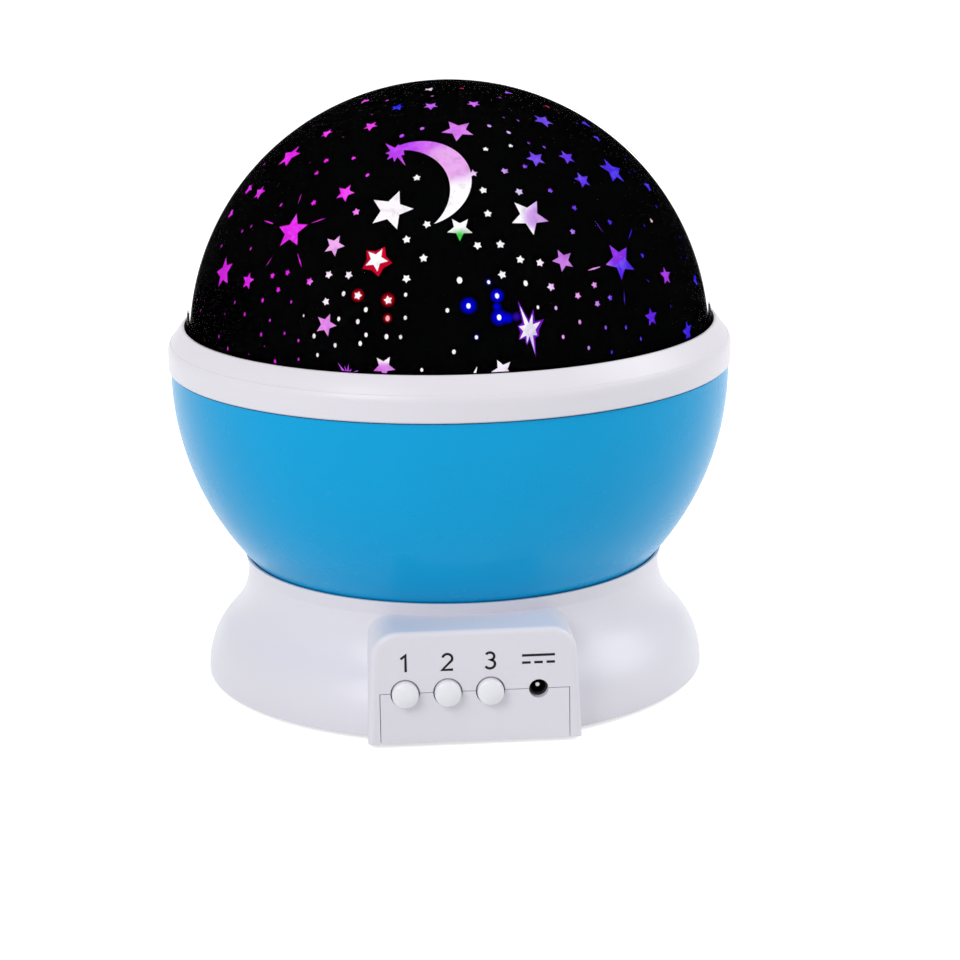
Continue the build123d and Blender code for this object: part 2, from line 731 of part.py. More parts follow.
def make_retaining_plate():
    """Washer-shaped plate above the gear ring that keeps the bowl down and seats the motor."""
    plate = rod(plate_radius, plate_z, plate_top) - rod(plate_hole, plate_z - 1, plate_top + 1)
    for degrees in diagonals:
        x, y = around(post_circle, degrees)
        plate = plate - rod(screw_shank + screw_slack, plate_z - 1, plate_top + 1, x, y)
    for side in (-1, 1):
        plate = plate - rod(small_shank + thread_gap, plate_z - 1, plate_top + 1, side * strap_screw_x,
                            drive_offset)
    return plate - rod(shaft_radius + 0.6, plate_z - 1, plate_top + 1, 0, drive_offset)


def make_retaining_screws():
    """Four screws down through the plate into the tower's posts."""
    return [screw_down(*around(post_circle, d), plate_top, plate_thickness + screw_bite) for d in diagonals]


def make_gearbox():
    """Gearbox of the motor, with its output bush at the bottom."""
    top = plate_top + gearbox_length
    box = Pos(0, drive_offset, 0) * block(-gearbox_width / 2, gearbox_width / 2, -gearbox_depth / 2,
                                          gearbox_depth / 2, plate_top, top)
    box = fillet(box.edges().filter_by(Axis.Z), 0.8)
    return box - rod(shaft_radius + running_gap, plate_top - 1, plate_top + 6, 0, drive_offset)


def make_motor_can():
    """Flat-sided motor on top of its gearbox."""
    low = plate_top + gearbox_length
    can = rod(gearbox_width / 2, low, motor_top)
    can = can & block(-gearbox_width / 2, gearbox_width / 2, -gearbox_depth / 2, gearbox_depth / 2,
                      low, motor_top)
    return Pos(0, drive_offset, 0) * can


def make_motor_bracket():
    """Strap over the motor with two ears on the plate."""
    low, high = plate_top, motor_top
    out, ear = strap_half + strap_thickness, strap_half + strap_thickness + strap_ear
    t = strap_thickness
    face = outline((-ear, low), (-strap_half, low), (-strap_half, high), (strap_half, high), (strap_half, low),
                   (ear, low), (ear, low + t), (out, low + t), (out, high + t), (-out, high + t),
                   (-out, low + t), (-ear, low + t))
    side = Plane(origin=(0, drive_offset + strap_width / 2, 0), x_dir=(1, 0, 0), z_dir=(0, -1, 0))
    strap = extrude(side * face, strap_width)
    for way in (-1, 1):
        strap = strap - rod(small_shank + screw_slack, low - 1, low + t + 1, way * strap_screw_x,
                            drive_offset)
    return strap


def make_motor_screws():
    """Two small screws through the strap's ears."""
    seat = plate_top + strap_thickness
    return [screw_down(way * strap_screw_x, drive_offset, seat, strap_thickness + plate_thickness - 0.2,
                       small_shank, small_head, small_head_height) for way in (-1, 1)]


def involute(angle):
    """Involute function of a pressure angle."""
    return math.tan(angle) - angle


def toothed_face(teeth, root_radius, tip_radius, spread):
    """Gear-shaped face; spread widens each tooth along the pitch circle, or narrows it below zero."""
    pitch_radius = gear_module * teeth / 2
    base_radius = pitch_radius * math.cos(pressure_angle)

    def half_angle(radius):
        at = math.acos(base_radius / max(radius, base_radius))
        return (math.pi / 2 + spread / gear_module) / teeth + involute(pressure_angle) - involute(at)

    def place(radius, degrees):
        return radius * math.cos(degrees), radius * math.sin(degrees)

    edges = []
    middle = (root_radius + tip_radius) / 2
    for tooth in range(teeth):
        centre = math.pi / 2 + 2 * math.pi * tooth / teeth
        following = centre + 2 * math.pi / teeth
        rise = [place(r, centre - half_angle(r)) for r in (root_radius, middle, tip_radius)]
        fall = [place(r, centre + half_angle(r)) for r in (tip_radius, middle, root_radius)]
        edges += ThreePointArc(*rise).edges()
        edges += Line(rise[2], fall[0]).edges()
        edges += ThreePointArc(*fall).edges()
        edges += Line(fall[2], place(root_radius, following - half_angle(root_radius))).edges()
    return make_face(Wire(edges))


def make_gear_ring():
    """Internal gear set in the bowl's collar."""
    teeth = toothed_face(ring_teeth, ring_tip_radius, ring_root_radius, gear_backlash / 2)
    face = Circle(gear_outer_radius) - teeth
    return extrude(Pos(0, 0, bowl_floor_top) * face, gear_face)


def make_pinion():
    """Drive pinion with a hub, meshing with the gear ring behind the stem."""
    face = toothed_face(pinion_teeth, pinion_root_radius, pinion_tip_radius, -gear_backlash / 2)
    pinion = extrude(Pos(0, 0, pinion_z) * face, pinion_face)
    pinion = pinion + rod(3.2, pinion_z + pinion_face - 0.1, pinion_z + pinion_face + 0.5)
    pinion = pinion - rod(shaft_radius + thread_gap, pinion_z - 1, pinion_z + pinion_face + 2)
    return Pos(0, drive_offset, 0) * pinion


def make_motor_shaft():
    """Output shaft from the gearbox down through the pinion."""
    return rod(shaft_radius, pinion_z, plate_top + 5.5, 0, drive_offset)


def make_glide_ring():
    """Low-friction ring on the deck under the bowl's floor."""
    return (rod(glide_ring_outer, deck_z, deck_z + glide_ring_thickness)
            - rod(glide_ring_outer - glide_ring_width, deck_z - 1, deck_z + glide_ring_thickness + 1))


def make_led_board():
    """Round circuit board on top of the stem."""
    board = rod(led_board_radius, led_board_z, led_board_top)
    for degrees in peg_places:
        x, y = around(board_boss_circle, degrees + 180)
        board = board - rod(small_shank + screw_slack, led_board_z - 1, led_board_top + 1, x, y)
    return board


def make_led_board_screws():
    """Three small screws through the LED board into the stem's bosses."""
    return [screw_down(*around(board_boss_circle, d + 180), led_board_top, board_thickness + small_bite,
                       small_shank, small_head, small_head_height) for d in peg_places]


def make_led(x, y):
    """Five-millimetre lamp bead with a flange and a domed tip."""
    z = led_board_top
    bead = turned((0, z), (led_radius + led_flange, z), (led_radius + led_flange, z + 1), (led_radius, z + 1),
                  (led_radius, z + led_body),
                  ball_arc(led_radius, z + led_body, z + led_body, z + led_body + led_radius))
    return Pos(x, y, 0) * bead


def make_led_lead():
    """Lead bundle from the LED board down the stem and forward to the control board."""
    end_y = board_y + board_thickness
    x = led_lead_x
    return tube(led_lead_radius, [(x, 0, led_board_z), (x, 0, lead_z), (x, end_y, lead_z)], led_lead_bend)


def make_motor_lead():
    """Motor lead over into the stem's window, down it and forward to the control board."""
    start_y = drive_offset + gearbox_depth / 2 - 1.2
    end_y = board_y + board_thickness
    route = [(start_y, motor_top), (start_y, window_z), (motor_lead_drop_y, window_z),
             (motor_lead_drop_y, lead_z), (end_y, lead_z)]
    return tube(lead_radius, [(motor_lead_x, y, z) for y, z in route], lead_bend)


def make_battery_lead():
    """Lead from the battery terminal tab to the control board."""
    x = bay_half_x - contact_thickness / 2
    end_x = board_half - battery_lead_inset
    end_y = board_y + board_thickness
    run = (terminal_y - end_y) / 3
    points = [(x, terminal_y, cell_z), (x, terminal_y - run, cell_z), (end_x, end_y + run, cell_z),
              (end_x, end_y, cell_z)]
    return tube(lead_radius, points, lead_bend)


# ---- turning body: bowl, ring and dome --------------------------------------------------------


def make_bowl():
    """Bowl with a flat floor, a bore that turns on the tower, and a collar for the gear ring."""
    collar_inner = gear_outer_radius + thread_gap
    collar_outer = collar_inner + collar_wall
    collar_top = bowl_floor_top + collar_height
    bowl = turned((floor_bore_radius, bowl_floor_z), (bowl_floor_radius, bowl_floor_z),
                  ball_arc(bowl_outer_radius, bowl_centre_z, bowl_floor_z, seam_z),
                  (ball_r(bowl_inner_radius, bowl_centre_z, seam_z), seam_z),
                  ball_arc(bowl_inner_radius, bowl_centre_z, seam_z, bowl_floor_top),
                  (collar_outer, bowl_floor_top), (collar_outer, collar_top), (collar_inner, collar_top),
                  (collar_inner, bowl_floor_top), (floor_bore_radius, bowl_floor_top))
    low, high, reach = bowl_floor_top - 0.5, bowl_floor_top + rib_height, bowl_inner_radius + 0.5
    inside = turned((collar_inner, low), (ball_r(reach, bowl_centre_z, low), low),
                    ball_arc(reach, bowl_centre_z, low, high), (collar_inner + 0.5, high))
    for i in range(rib_count):
        rib = block(collar_inner + 1, bowl_outer_radius, -rib_thickness / 2, rib_thickness / 2,
                    low - 0.5, high + 1)
        bowl = bowl + (Rot(0, 0, 360 * i / rib_count + rib_turn) * rib & inside)
    return bowl


def make_rim_ring():
    """White ring: upright band, bevelled top, skirt inside the bowl, ledge and bayonet pegs."""
    skirt_outer = bowl_inner_radius - skirt_gap
    skirt_inner = skirt_outer - ring_skirt_wall
    skirt_bottom = seam_z - ring_skirt_depth
    bevel_top = ring_bore_radius + ring_top_land
    crease_z = seam_z + ring_band
    shoulder_z = crease_z - ring_shoulder * math.sin(ring_shoulder_turn)
    shoulder_r = ring_outer_radius - ring_shoulder * (1 - math.cos(ring_shoulder_turn))
    half_turn = ring_shoulder_turn / 2
    bevel_mid = (shoulder_r - ring_step + bevel_top) / 2
    land = bowl_inner_radius + bowl_wall / 2
    band_z = seam_z + ring_groove
    round_r = ring_step / 2
    round_mid = round_r * (1 - math.sqrt(0.5))
    ring = turned((skirt_outer, skirt_bottom), (skirt_outer, seam_z), (land, seam_z), (land, band_z),
                  (ring_outer_radius - 0.3, band_z), (ring_outer_radius, band_z + 0.3),
                  (ring_outer_radius, shoulder_z),
                  [(ring_outer_radius - ring_shoulder * (1 - math.cos(half_turn)),
                    shoulder_z + ring_shoulder * math.sin(half_turn)), (shoulder_r, crease_z - round_r)],
                  [(shoulder_r - round_mid, crease_z - round_mid), (shoulder_r - round_r, crease_z)],
                  (shoulder_r - ring_step, crease_z),
                  [(bevel_mid + 0.08, (crease_z + ring_top) / 2 + 0.08), (bevel_top, ring_top)],
                  (ring_bore_radius, ring_top), (ring_bore_radius, ledge_top),
                  (ring_bore_radius - ring_ledge, ledge_top), (ring_bore_radius - ring_ledge, ledge_bottom),
                  (skirt_inner, ledge_bottom), (skirt_inner, skirt_bottom))
    for degrees in peg_places:
        ring = ring + sector(ring_bore_radius - peg_reach, ring_bore_radius + 0.2, peg_z - peg_height / 2,
                             peg_z + peg_height / 2, degrees, peg_half_angle)
    for degrees in diagonals:
        x, y = around(reflector_screw_circle, degrees)
        ring = ring - rod(small_shank + thread_gap, ledge_bottom - 1, ledge_top - 0.3, x, y)
    return ring


def bayonet_slots():
    """L-shaped slots, open at the foot, that the ring's pegs run in as the dome twists."""
    margin = peg_half_angle + 1.0
    slot_top = peg_z + peg_height / 2 + 0.4
    slot_low = peg_z - peg_height / 2 - 0.4
    cuts = []
    for degrees in peg_places:
        middle = degrees - unlock_angle / 2
        cuts.append(sector(mask_radius + 0.02, dome_radius + 1, slot_low, slot_top, middle,
                           unlock_angle / 2 + margin))
        cuts.append(sector(mask_radius + 0.02, dome_radius + 1, dome_foot_z - 3, slot_top,
                           degrees - unlock_angle, margin))
    return cuts


def make_clear_dome():
    """Thin clear dome on a short skirt."""
    top = dome_centre_z
    dome = turned((dome_inner_radius, dome_foot_z), (dome_radius, dome_foot_z), (dome_radius, top),
                  ball_arc(dome_radius, top, top, top + dome_radius), (0, top + dome_inner_radius),
                  ball_arc(dome_inner_radius, top, top + dome_inner_radius, top))
    for cut in bayonet_slots():
        dome = dome - cut
    return dome


def star_face(points, outer, inner):
    """Regular star with one point upwards."""
    corners = []
    for i in range(2 * points):
        angle = math.pi / 2 + math.pi * i / points
        size = outer if i % 2 == 0 else inner
        corners.append((size * math.cos(angle), size * math.sin(angle)))
    return outline(*corners)


def burst_face(size):
    """Tall star with eight points, the upright pair longest."""
    corners = []
    for i in range(16):
        angle = math.pi / 2 + math.pi * i / 8
        reach = 0.38 if i % 2 else (1.0 if i in (0, 8) else 0.68)
        corners.append((size * reach * math.cos(angle), size * reach * math.sin(angle)))
    return outline(*corners)


def moon_face(size):
    """Crescent open to the left: a disc less a shifted disc."""
    disc = Circle(size)
    return disc - Pos(-0.42 * size, 0.12 * size) * Circle(0.86 * size)


def window_cut(kind, longitude, latitude, size, turn):
    """Prism through the mask, square to its surface."""
    lon, lat = math.radians(longitude + turn), math.radians(latitude)
    out = Vector(math.cos(lat) * math.sin(lon), -math.cos(lat) * math.cos(lon), math.sin(lat))
    level = Vector(math.cos(lon), math.sin(lon), 0)
    face = {"star": lambda: star_face(5, size, 0.45 * size), "burst": lambda: burst_face(size),
            "moon": lambda: moon_face(size)}[kind]()
    centre = Vector(0, 0, dome_centre_z)
    plane = Plane(origin=centre + out * (mask_inner_radius - 3), x_dir=level, z_dir=out)
    return extrude(plane * face, 6)


def make_star_mask():
    """Black dome pierced with stars and crescents, on a foot under the clear dome's skirt."""
    top, foot = dome_centre_z, dome_foot_z
    mask = turned((film_inner_radius - 0.5, foot - mask_thickness), (dome_radius - 0.2, foot - mask_thickness),
                  (dome_radius - 0.2, foot), (mask_radius, foot), (mask_radius, top),
                  ball_arc(mask_radius, top, top, top + mask_radius), (0, top + mask_inner_radius),
                  ball_arc(mask_inner_radius, top, top + mask_inner_radius, top),
                  (mask_inner_radius, foot), (film_inner_radius - 0.5, foot))
    for cut in bayonet_slots():
        mask = mask - cut
    cuts = []
    for turn in range(repeats):
        for kind, longitude, latitude, size in windows:
            cuts.append(window_cut(kind, longitude, latitude, size, 360 * turn / repeats))
    return mask - Compound(cuts)


def make_star_film():
    """Thin translucent liner inside the mask."""
    top, foot = dome_centre_z, dome_foot_z
    return turned((film_inner_radius, foot), (film_radius, foot), (film_radius, top),
                  ball_arc(film_radius, top, top, top + film_radius), (0, top + film_inner_radius),
                  ball_arc(film_inner_radius, top, top + film_inner_radius, top))


def make_reflector_plate():
    """White disc under the dome with a hole round the stem."""
    plate_edge = bowl_inner_radius - skirt_gap - ring_skirt_wall - reflector_gap
    plate = (rod(plate_edge, ledge_bottom - reflector_thickness, ledge_bottom)
             - rod(reflector_hole, ledge_bottom - reflector_thickness - 1, ledge_bottom + 1))
    for degrees in diagonals:
        x, y = around(reflector_screw_circle, degrees)
        plate = plate - rod(small_shank + screw_slack, ledge_bottom - reflector_thickness - 1,
                            ledge_bottom + 1, x, y)
    return plate


def make_reflector_screws():
    """Four small screws up through the reflector plate into the ring's ledge."""
    seat = ledge_bottom - reflector_thickness
    return [screw_up(*around(reflector_screw_circle, d), seat, reflector_thickness + 1.1,
                     small_shank, small_head, small_head_height) for d in diagonals]


# ---- the assembly, one file per piece ---------------------------------------------------------

nodes = {
    "base_shell": make_base_shell(),
    "bottom_cover": make_bottom_cover(),
    "rubber_feet": make_feet(),
    "base_screws": make_base_screws(),
    "battery_door": make_battery_door(),
    "battery_springs": make_battery_springs(),
    "battery_plates": make_battery_plates(),
    "control_board": make_control_board(),
    "dc_jack": make_dc_jack(),
    "dc_jack_pin": make_jack_pin(),
    "center_tower": make_center_tower(),
    "tower_screws": make_tower_screws(),
    "retaining_plate": make_retaining_plate(),
    "retaining_screws": make_retaining_screws(),
    "motor_gearbox": make_gearbox(),
    "motor_can": make_motor_can(),
    "motor_bracket": make_motor_bracket(),
    "motor_screws": make_motor_screws(),
    "motor_shaft": make_motor_shaft(),
    "drive_pinion": make_pinion(),
    "glide_ring": make_glide_ring(),
    "led_board": make_led_board(),
    "led_board_screws": make_led_board_screws(),
    "led_lead": make_led_lead(),
    "motor_lead": make_motor_lead(),
    "battery_lead": make_battery_lead(),
    "bowl": make_bowl(),
    "gear_ring": make_gear_ring(),
    "rim_ring": make_rim_ring(),
    "reflector_plate": make_reflector_plate(),
    "reflector_screws": make_reflector_screws(),
    "clear_dome": make_clear_dome(),
    "star_mask": make_star_mask(),
    "star_film": make_star_film(),
}
for number in range(cell_count):
    nodes[f"battery_cell_{number + 1}"] = make_cell(number)
for number, place_x in enumerate(button_places):
    nodes[f"switch_body_{number + 1}"] = make_switch_body(place_x)
    nodes[f"switch_plunger_{number + 1}"] = make_plunger(place_x)
    nodes[f"button_cap_{number + 1}"] = make_button_cap(place_x)
for colour, place in led_places.items():
    nodes[f"led_{colour}"] = make_led(*place)

os.makedirs("parts", exist_ok=True)
for name, shape in nodes.items():
    solids = [solid for item in (shape if isinstance(shape, list) else [shape]) for solid in item.solids()]
    export_step(Compound(solids) if len(solids) > 1 else solids[0], f"parts/{name}.step")
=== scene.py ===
import json
import math
import random

import bpy
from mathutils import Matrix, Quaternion, Vector
from mathutils.geometry import delaunay_2d_cdt


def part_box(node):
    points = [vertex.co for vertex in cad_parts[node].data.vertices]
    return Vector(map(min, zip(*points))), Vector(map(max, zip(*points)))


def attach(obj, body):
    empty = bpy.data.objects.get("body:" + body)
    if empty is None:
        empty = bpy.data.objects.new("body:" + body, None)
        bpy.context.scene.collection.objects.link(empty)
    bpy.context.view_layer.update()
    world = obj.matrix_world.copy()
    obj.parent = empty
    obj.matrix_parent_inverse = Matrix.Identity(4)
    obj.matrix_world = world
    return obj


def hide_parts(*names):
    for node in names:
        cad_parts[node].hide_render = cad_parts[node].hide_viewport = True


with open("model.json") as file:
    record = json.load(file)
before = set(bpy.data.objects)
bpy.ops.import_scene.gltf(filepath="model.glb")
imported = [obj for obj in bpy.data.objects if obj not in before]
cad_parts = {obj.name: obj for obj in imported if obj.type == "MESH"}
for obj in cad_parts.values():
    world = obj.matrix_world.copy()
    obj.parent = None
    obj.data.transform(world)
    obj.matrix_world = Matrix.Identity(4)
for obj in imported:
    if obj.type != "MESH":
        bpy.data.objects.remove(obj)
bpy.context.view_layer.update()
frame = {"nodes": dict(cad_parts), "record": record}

MM = 0.001
scene = bpy.context.scene
scene.view_settings.view_transform = "Standard"

# ---- camera ---------------------------------------------------------------------------------

FRAME_PX = 960
SIGHT = Vector((0, 0, 0.0757))      # metres
SIGHT_PX = (449.9, 359.3)           # where the sight point falls in the frame
FOCAL_PX = 2772.7
SENSOR_MM = 36.0
CAMERA_DISTANCE = 0.666             # metres from the sight point
CAMERA_ELEVATION = 12.35            # degrees, as the next two
CAMERA_AZIMUTH = -4.0
CAMERA_ROLL = 1.02
CLIP_NEAR, CLIP_FAR = 0.01, 30


def make_camera():
    """Camera that puts the sight point at its place in the frame, with no shift."""
    up, turn = math.radians(CAMERA_ELEVATION), math.radians(CAMERA_AZIMUTH)
    place = SIGHT + CAMERA_DISTANCE * Vector((math.cos(up) * math.sin(turn), -math.cos(up) * math.cos(turn),
                                              math.sin(up)))
    data = bpy.data.cameras.new("camera")
    data.sensor_width = SENSOR_MM
    data.lens = FOCAL_PX / FRAME_PX * SENSOR_MM
    data.clip_start, data.clip_end = CLIP_NEAR, CLIP_FAR
    camera = bpy.data.objects.new("camera", data)
    scene.collection.objects.link(camera)
    towards = Vector(((SIGHT_PX[0] - FRAME_PX / 2) / FOCAL_PX, (FRAME_PX / 2 - SIGHT_PX[1]) / FOCAL_PX, -1))
    offset = Vector((0, 0, -1)).rotation_difference(towards)
    roll = Quaternion((0, 0, 1), math.radians(CAMERA_ROLL))
    look = (SIGHT - place).to_track_quat("-Z", "Y")
    camera.rotation_mode = "QUATERNION"
    camera.rotation_quaternion = look @ (offset @ roll).inverted()
    camera.location = place
    scene.camera = camera


make_camera()

# ---- materials ------------------------------------------------------------------------------

FINE_DEPTH = 0.000004               # depth of fine scratches and pores, metres
PRINT_EDGE = 0.0001                 # width over which a printed edge fades
CLEAR_IOR = 1.004                   # nearly that of air, as the thin dome mustn't grey the mask behind it
BAND_FROM, BARE_FROM = 0.0148, 0.0212   # where a cell's light band and its bare end start, from its middle


def srgb(r, g, b):
    """Linear colour from 8-bit display values."""
    def one(v):
        v /= 255
        return v / 12.92 if v <= 0.04045 else ((v + 0.055) / 1.055) ** 2.4
    return (one(r), one(g), one(b), 1.0)


class Nodes:
    """Small helper that builds one material's node tree."""

    def __init__(self, name):
        self.material = bpy.data.materials.new(name)
        self.material.use_nodes = True
        self.tree = self.material.node_tree
        self.shader = self.tree.nodes["Principled BSDF"]
        self.coords = self.add("ShaderNodeTexCoord").outputs["Object"]

    def add(self, kind, inputs=None, **settings):
        node = self.tree.nodes.new(kind)
        for key, value in settings.items():
            setattr(node, key, value)
        for key, value in (inputs or {}).items():
            if isinstance(value, bpy.types.NodeSocket):
                self.tree.links.new(value, node.inputs[key])
            else:
                node.inputs[key].default_value = value
        return node

    def link(self, source, target):
        self.tree.links.new(source, target)

    def drive(self, key, source):
        """Let a socket drive an input of the shader."""
        self.link(source, self.shader.inputs[key])

    def set(self, **values):
        for key, value in values.items():
            self.shader.inputs[key.replace("_", " ")].default_value = value

    def noise(self, scale, detail=3.0, roughness=0.5, stretch=None):
        """Noise over the piece's own coordinates, from 0 to 1."""
        vector = self.coords
        if stretch:
            vector = self.add("ShaderNodeMapping", {"Vector": self.coords, "Scale": stretch}).outputs["Vector"]
        return self.add("ShaderNodeTexNoise", {"Vector": vector, "Scale": scale, "Detail": detail,
                                               "Roughness": roughness}).outputs["Fac"]

    def ranged(self, value, to_low, to_high, from_low=0.3, from_high=0.7, kind="LINEAR"):
        node = self.add("ShaderNodeMapRange", {"Value": value, "From Min": from_low, "From Max": from_high,
                                               "To Min": to_low, "To Max": to_high})
        node.interpolation_type = kind
        return node.outputs["Result"]

    def mix(self, factor, first, second, blend="MIX"):
        node = self.add("ShaderNodeMix", data_type="RGBA", blend_type=blend)
        for key, value in (("Factor_Float", factor), ("A_Color", first), ("B_Color", second)):
            socket = next(s for s in node.inputs if s.identifier == key)
            if isinstance(value, bpy.types.NodeSocket):
                self.link(value, socket)
            else:
                socket.default_value = value
        return next(s for s in node.outputs if s.identifier == "Result_Color")

    def blend(self, value, first, second, low=0.3, high=0.7):
        """From the first colour to the second while a value runs from low to high."""
        return self.mix(self.ranged(value, 0.0, 1.0, low, high), first, second)

    def spot(self, place, full, faded):
        """1 within full mm of a place, falling to 0 at faded mm."""
        away = self.add("ShaderNodeVectorMath", {0: self.coords, 1: place}, operation="DISTANCE").outputs["Value"]
        return self.ranged(away, 1.0, 0.0, full * MM, faded * MM, "SMOOTHSTEP")

    def bump(self, height, depth):
        node = self.add("ShaderNodeBump", {"Height": height, "Distance": depth, "Strength": 1.0})
        self.drive("Normal", node.outputs["Normal"])


def shade(colour, amount):
    """Colour scaled towards black below 1, or brighter above it."""
    return tuple(min(1.0, c * amount) for c in colour[:3]) + (1.0,)


def plastic(name, colour, roughness, mottle=0.02, grain=900.0, grain_depth=0.000003, ripple_depth=0.000005,
            **settings):
    """Moulded plastic: faint flow marks in its colour, uneven gloss and a fine skin."""
    nodes = Nodes(name)
    flow = nodes.noise(38.0, 3.0, 0.55, (1.0, 1.0, 0.45))
    nodes.drive("Base Color", nodes.blend(flow, shade(colour, 1 - mottle), shade(colour, 1 + mottle)))
    patches = nodes.noise(70.0, 4.0, 0.6)
    nodes.drive("Roughness", nodes.ranged(patches, roughness * 0.88, roughness * 1.14))
    skin = nodes.noise(grain, 2.0, 0.6)
    ripple = nodes.noise(26.0, 2.0, 0.4)
    fine = nodes.add("ShaderNodeMath", {0: skin, 1: grain_depth / ripple_depth}, operation="MULTIPLY").outputs[0]
    height = nodes.add("ShaderNodeMath", {0: fine, 1: ripple}, operation="ADD").outputs[0]
    nodes.bump(height, ripple_depth)
    nodes.set(**settings)
    return nodes.material


def metal(name, colour, roughness, brushed):
    """Plated or drawn metal with fine scratches, stretched by the brushed factors."""
    nodes = Nodes(name)
    marks = nodes.noise(1400.0, 3.0, 0.6, brushed)
    cloud = nodes.noise(120.0, 3.0, 0.5)
    nodes.drive("Base Color", nodes.blend(cloud, shade(colour, 0.9), shade(colour, 1.08)))
    nodes.drive("Roughness", nodes.ranged(marks, roughness * 0.8, roughness * 1.3))
    nodes.bump(marks, FINE_DEPTH)
    nodes.set(Metallic=1.0)
    return nodes.material


materials = {
    "white_shell": plastic("white_plastic", srgb(226, 223, 231), 0.32, mottle=0.006, Specular_IOR_Level=0.4),
    "button_white": plastic("button_plastic", srgb(236, 235, 240), 0.24, mottle=0.006),
    "white_inner": plastic("inner_white_plastic", srgb(222, 222, 222), 0.5, mottle=0.02, grain=600.0),
    "blue_bowl": plastic("blue_plastic", srgb(0, 162, 220), 0.26, mottle=0.015, ripple_depth=0.000002,
                         grain_depth=0.000001, IOR=1.3, Specular_IOR_Level=0.3),
    "rubber": plastic("foot_rubber", srgb(180, 180, 184), 0.75, mottle=0.05, grain=700.0, grain_depth=0.00002),
    "black_plastic": plastic("black_plastic", srgb(24, 24, 26), 0.42, mottle=0.08, grain=800.0,
                             grain_depth=0.00001),
    "steel": metal("plated_steel", srgb(190, 190, 192), 0.28, (1.0, 0.2, 1.0)),
    "brass_gearbox": metal("brass", srgb(212, 180, 110), 0.32, (0.3, 1.0, 1.0)),
    "wire": plastic("wire_sleeve", srgb(168, 24, 24), 0.42, mottle=0.05, grain=500.0),
}


def circuit_board():
    """Green solder mask with the weave and a few traces just showing."""
    nodes = Nodes("circuit_board")
    weave = nodes.add("ShaderNodeTexWave", {"Vector": nodes.coords, "Scale": 380.0, "Distortion": 1.5},
                      wave_type="BANDS", bands_direction="DIAGONAL").outputs["Fac"]
    cells = nodes.noise(240.0, 1.0, 0.3)
    green = nodes.mix(nodes.ranged(weave, 0.0, 0.35, 0.0, 1.0), srgb(14, 84, 44), srgb(24, 108, 58))
    nodes.drive("Base Color", nodes.blend(cells, green, srgb(34, 128, 70), 0.5, 0.53))
    nodes.drive("Roughness", nodes.ranged(cells, 0.28, 0.4))
    nodes.bump(cells, 0.00002)
    return nodes.material


def cell_wrap():
    """Printed sleeve of a battery cell: dark blue with a plain light band and a bare end."""
    nodes = Nodes("cell_wrap")
    x = nodes.add("ShaderNodeSeparateXYZ", {"Vector": nodes.coords}).outputs["X"]
    reach = nodes.add("ShaderNodeMath", {0: x}, operation="ABSOLUTE").outputs[0]
    band = nodes.ranged(reach, 0.0, 1.0, BAND_FROM, BAND_FROM + PRINT_EDGE)
    metal_end = nodes.ranged(reach, 0.0, 1.0, BARE_FROM, BARE_FROM + PRINT_EDGE)
    cloud = nodes.noise(90.0, 3.0, 0.5)
    blue = nodes.blend(cloud, srgb(26, 44, 92), srgb(34, 54, 106))
    printed = nodes.mix(band, blue, srgb(196, 198, 204))
    nodes.drive("Base Color", nodes.mix(metal_end, printed, srgb(188, 186, 180)))
    nodes.drive("Metallic", metal_end)
    nodes.drive("Roughness", nodes.ranged(cloud, 0.26, 0.36))
    nodes.bump(nodes.noise(1200.0, 2.0), FINE_DEPTH)
    return nodes.material


def clear_plastic(name, shade_band_z):
    """Clear moulded plastic; its foot below the given height is painted black, a painted shade of the gap between the
    dome and the ring.
    """
    nodes = Nodes(name)
    height = nodes.add("ShaderNodeSeparateXYZ", {"Vector": nodes.coords}).outputs["Z"]
    clear = nodes.ranged(height, 0.0, 1.0, shade_band_z - PRINT_EDGE, shade_band_z)
    bright = nodes.ranged(height, 0.0, 1.0, shade_band_z, shade_band_z + PRINT_EDGE)
    # painted shade: near black below the band's top, clear above it
    nodes.drive("Base Color", nodes.mix(bright, (0.0015, 0.0015, 0.0018, 1.0), (1.0, 1.0, 1.0, 1.0)))
    nodes.drive("Transmission Weight", clear)
    nodes.drive("Roughness", nodes.ranged(clear, 0.4, 0.0, 0.0, 1.0))
    nodes.set(IOR=CLEAR_IOR)
    return nodes.material


def lamp_lens(name, colour):
    """Lamp bead: tinted epoxy with a lit die showing through."""
    nodes = Nodes(name)
    cloud = nodes.noise(300.0, 2.0, 0.5)
    nodes.drive("Base Color", nodes.blend(cloud, shade(colour, 0.85), colour))
    nodes.drive("Roughness", nodes.ranged(cloud, 0.06, 0.12))
    nodes.bump(cloud, FINE_DEPTH)
    nodes.set(Emission_Color=colour, Emission_Strength=1.0)
    return nodes.material


materials["circuit_board"] = circuit_board()
materials["cell_wrap"] = cell_wrap()
# the dome's foot is painted black up to the ring's top, a painted shade of the gap between dome and ring
materials["clear"] = clear_plastic("clear_dome_plastic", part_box("rim_ring")[1].z)
lamps = {f"led_{tone}": lamp_lens(f"lamp_{tone}", colour) for tone, colour in (
    ("white", srgb(250, 248, 240)), ("red", srgb(250, 60, 50)), ("green", srgb(60, 240, 90)),
    ("blue", srgb(60, 90, 250)))}

slot_of = {part["node"]: part["material_slot"] for part in frame["record"]["subparts"]}


def dress(obj, material):
    """One material over a whole object."""
    obj.data.materials.clear()
    obj.data.materials.append(material)


for node, obj in frame["nodes"].items():
    if node in lamps:
        dress(obj, lamps[node])
    elif slot_of[node] in materials:
        dress(obj, materials[slot_of[node]])

# ---- dome: pierced star mask over a glowing film ----------------------------------------------

mask_low, mask_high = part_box("star_mask")

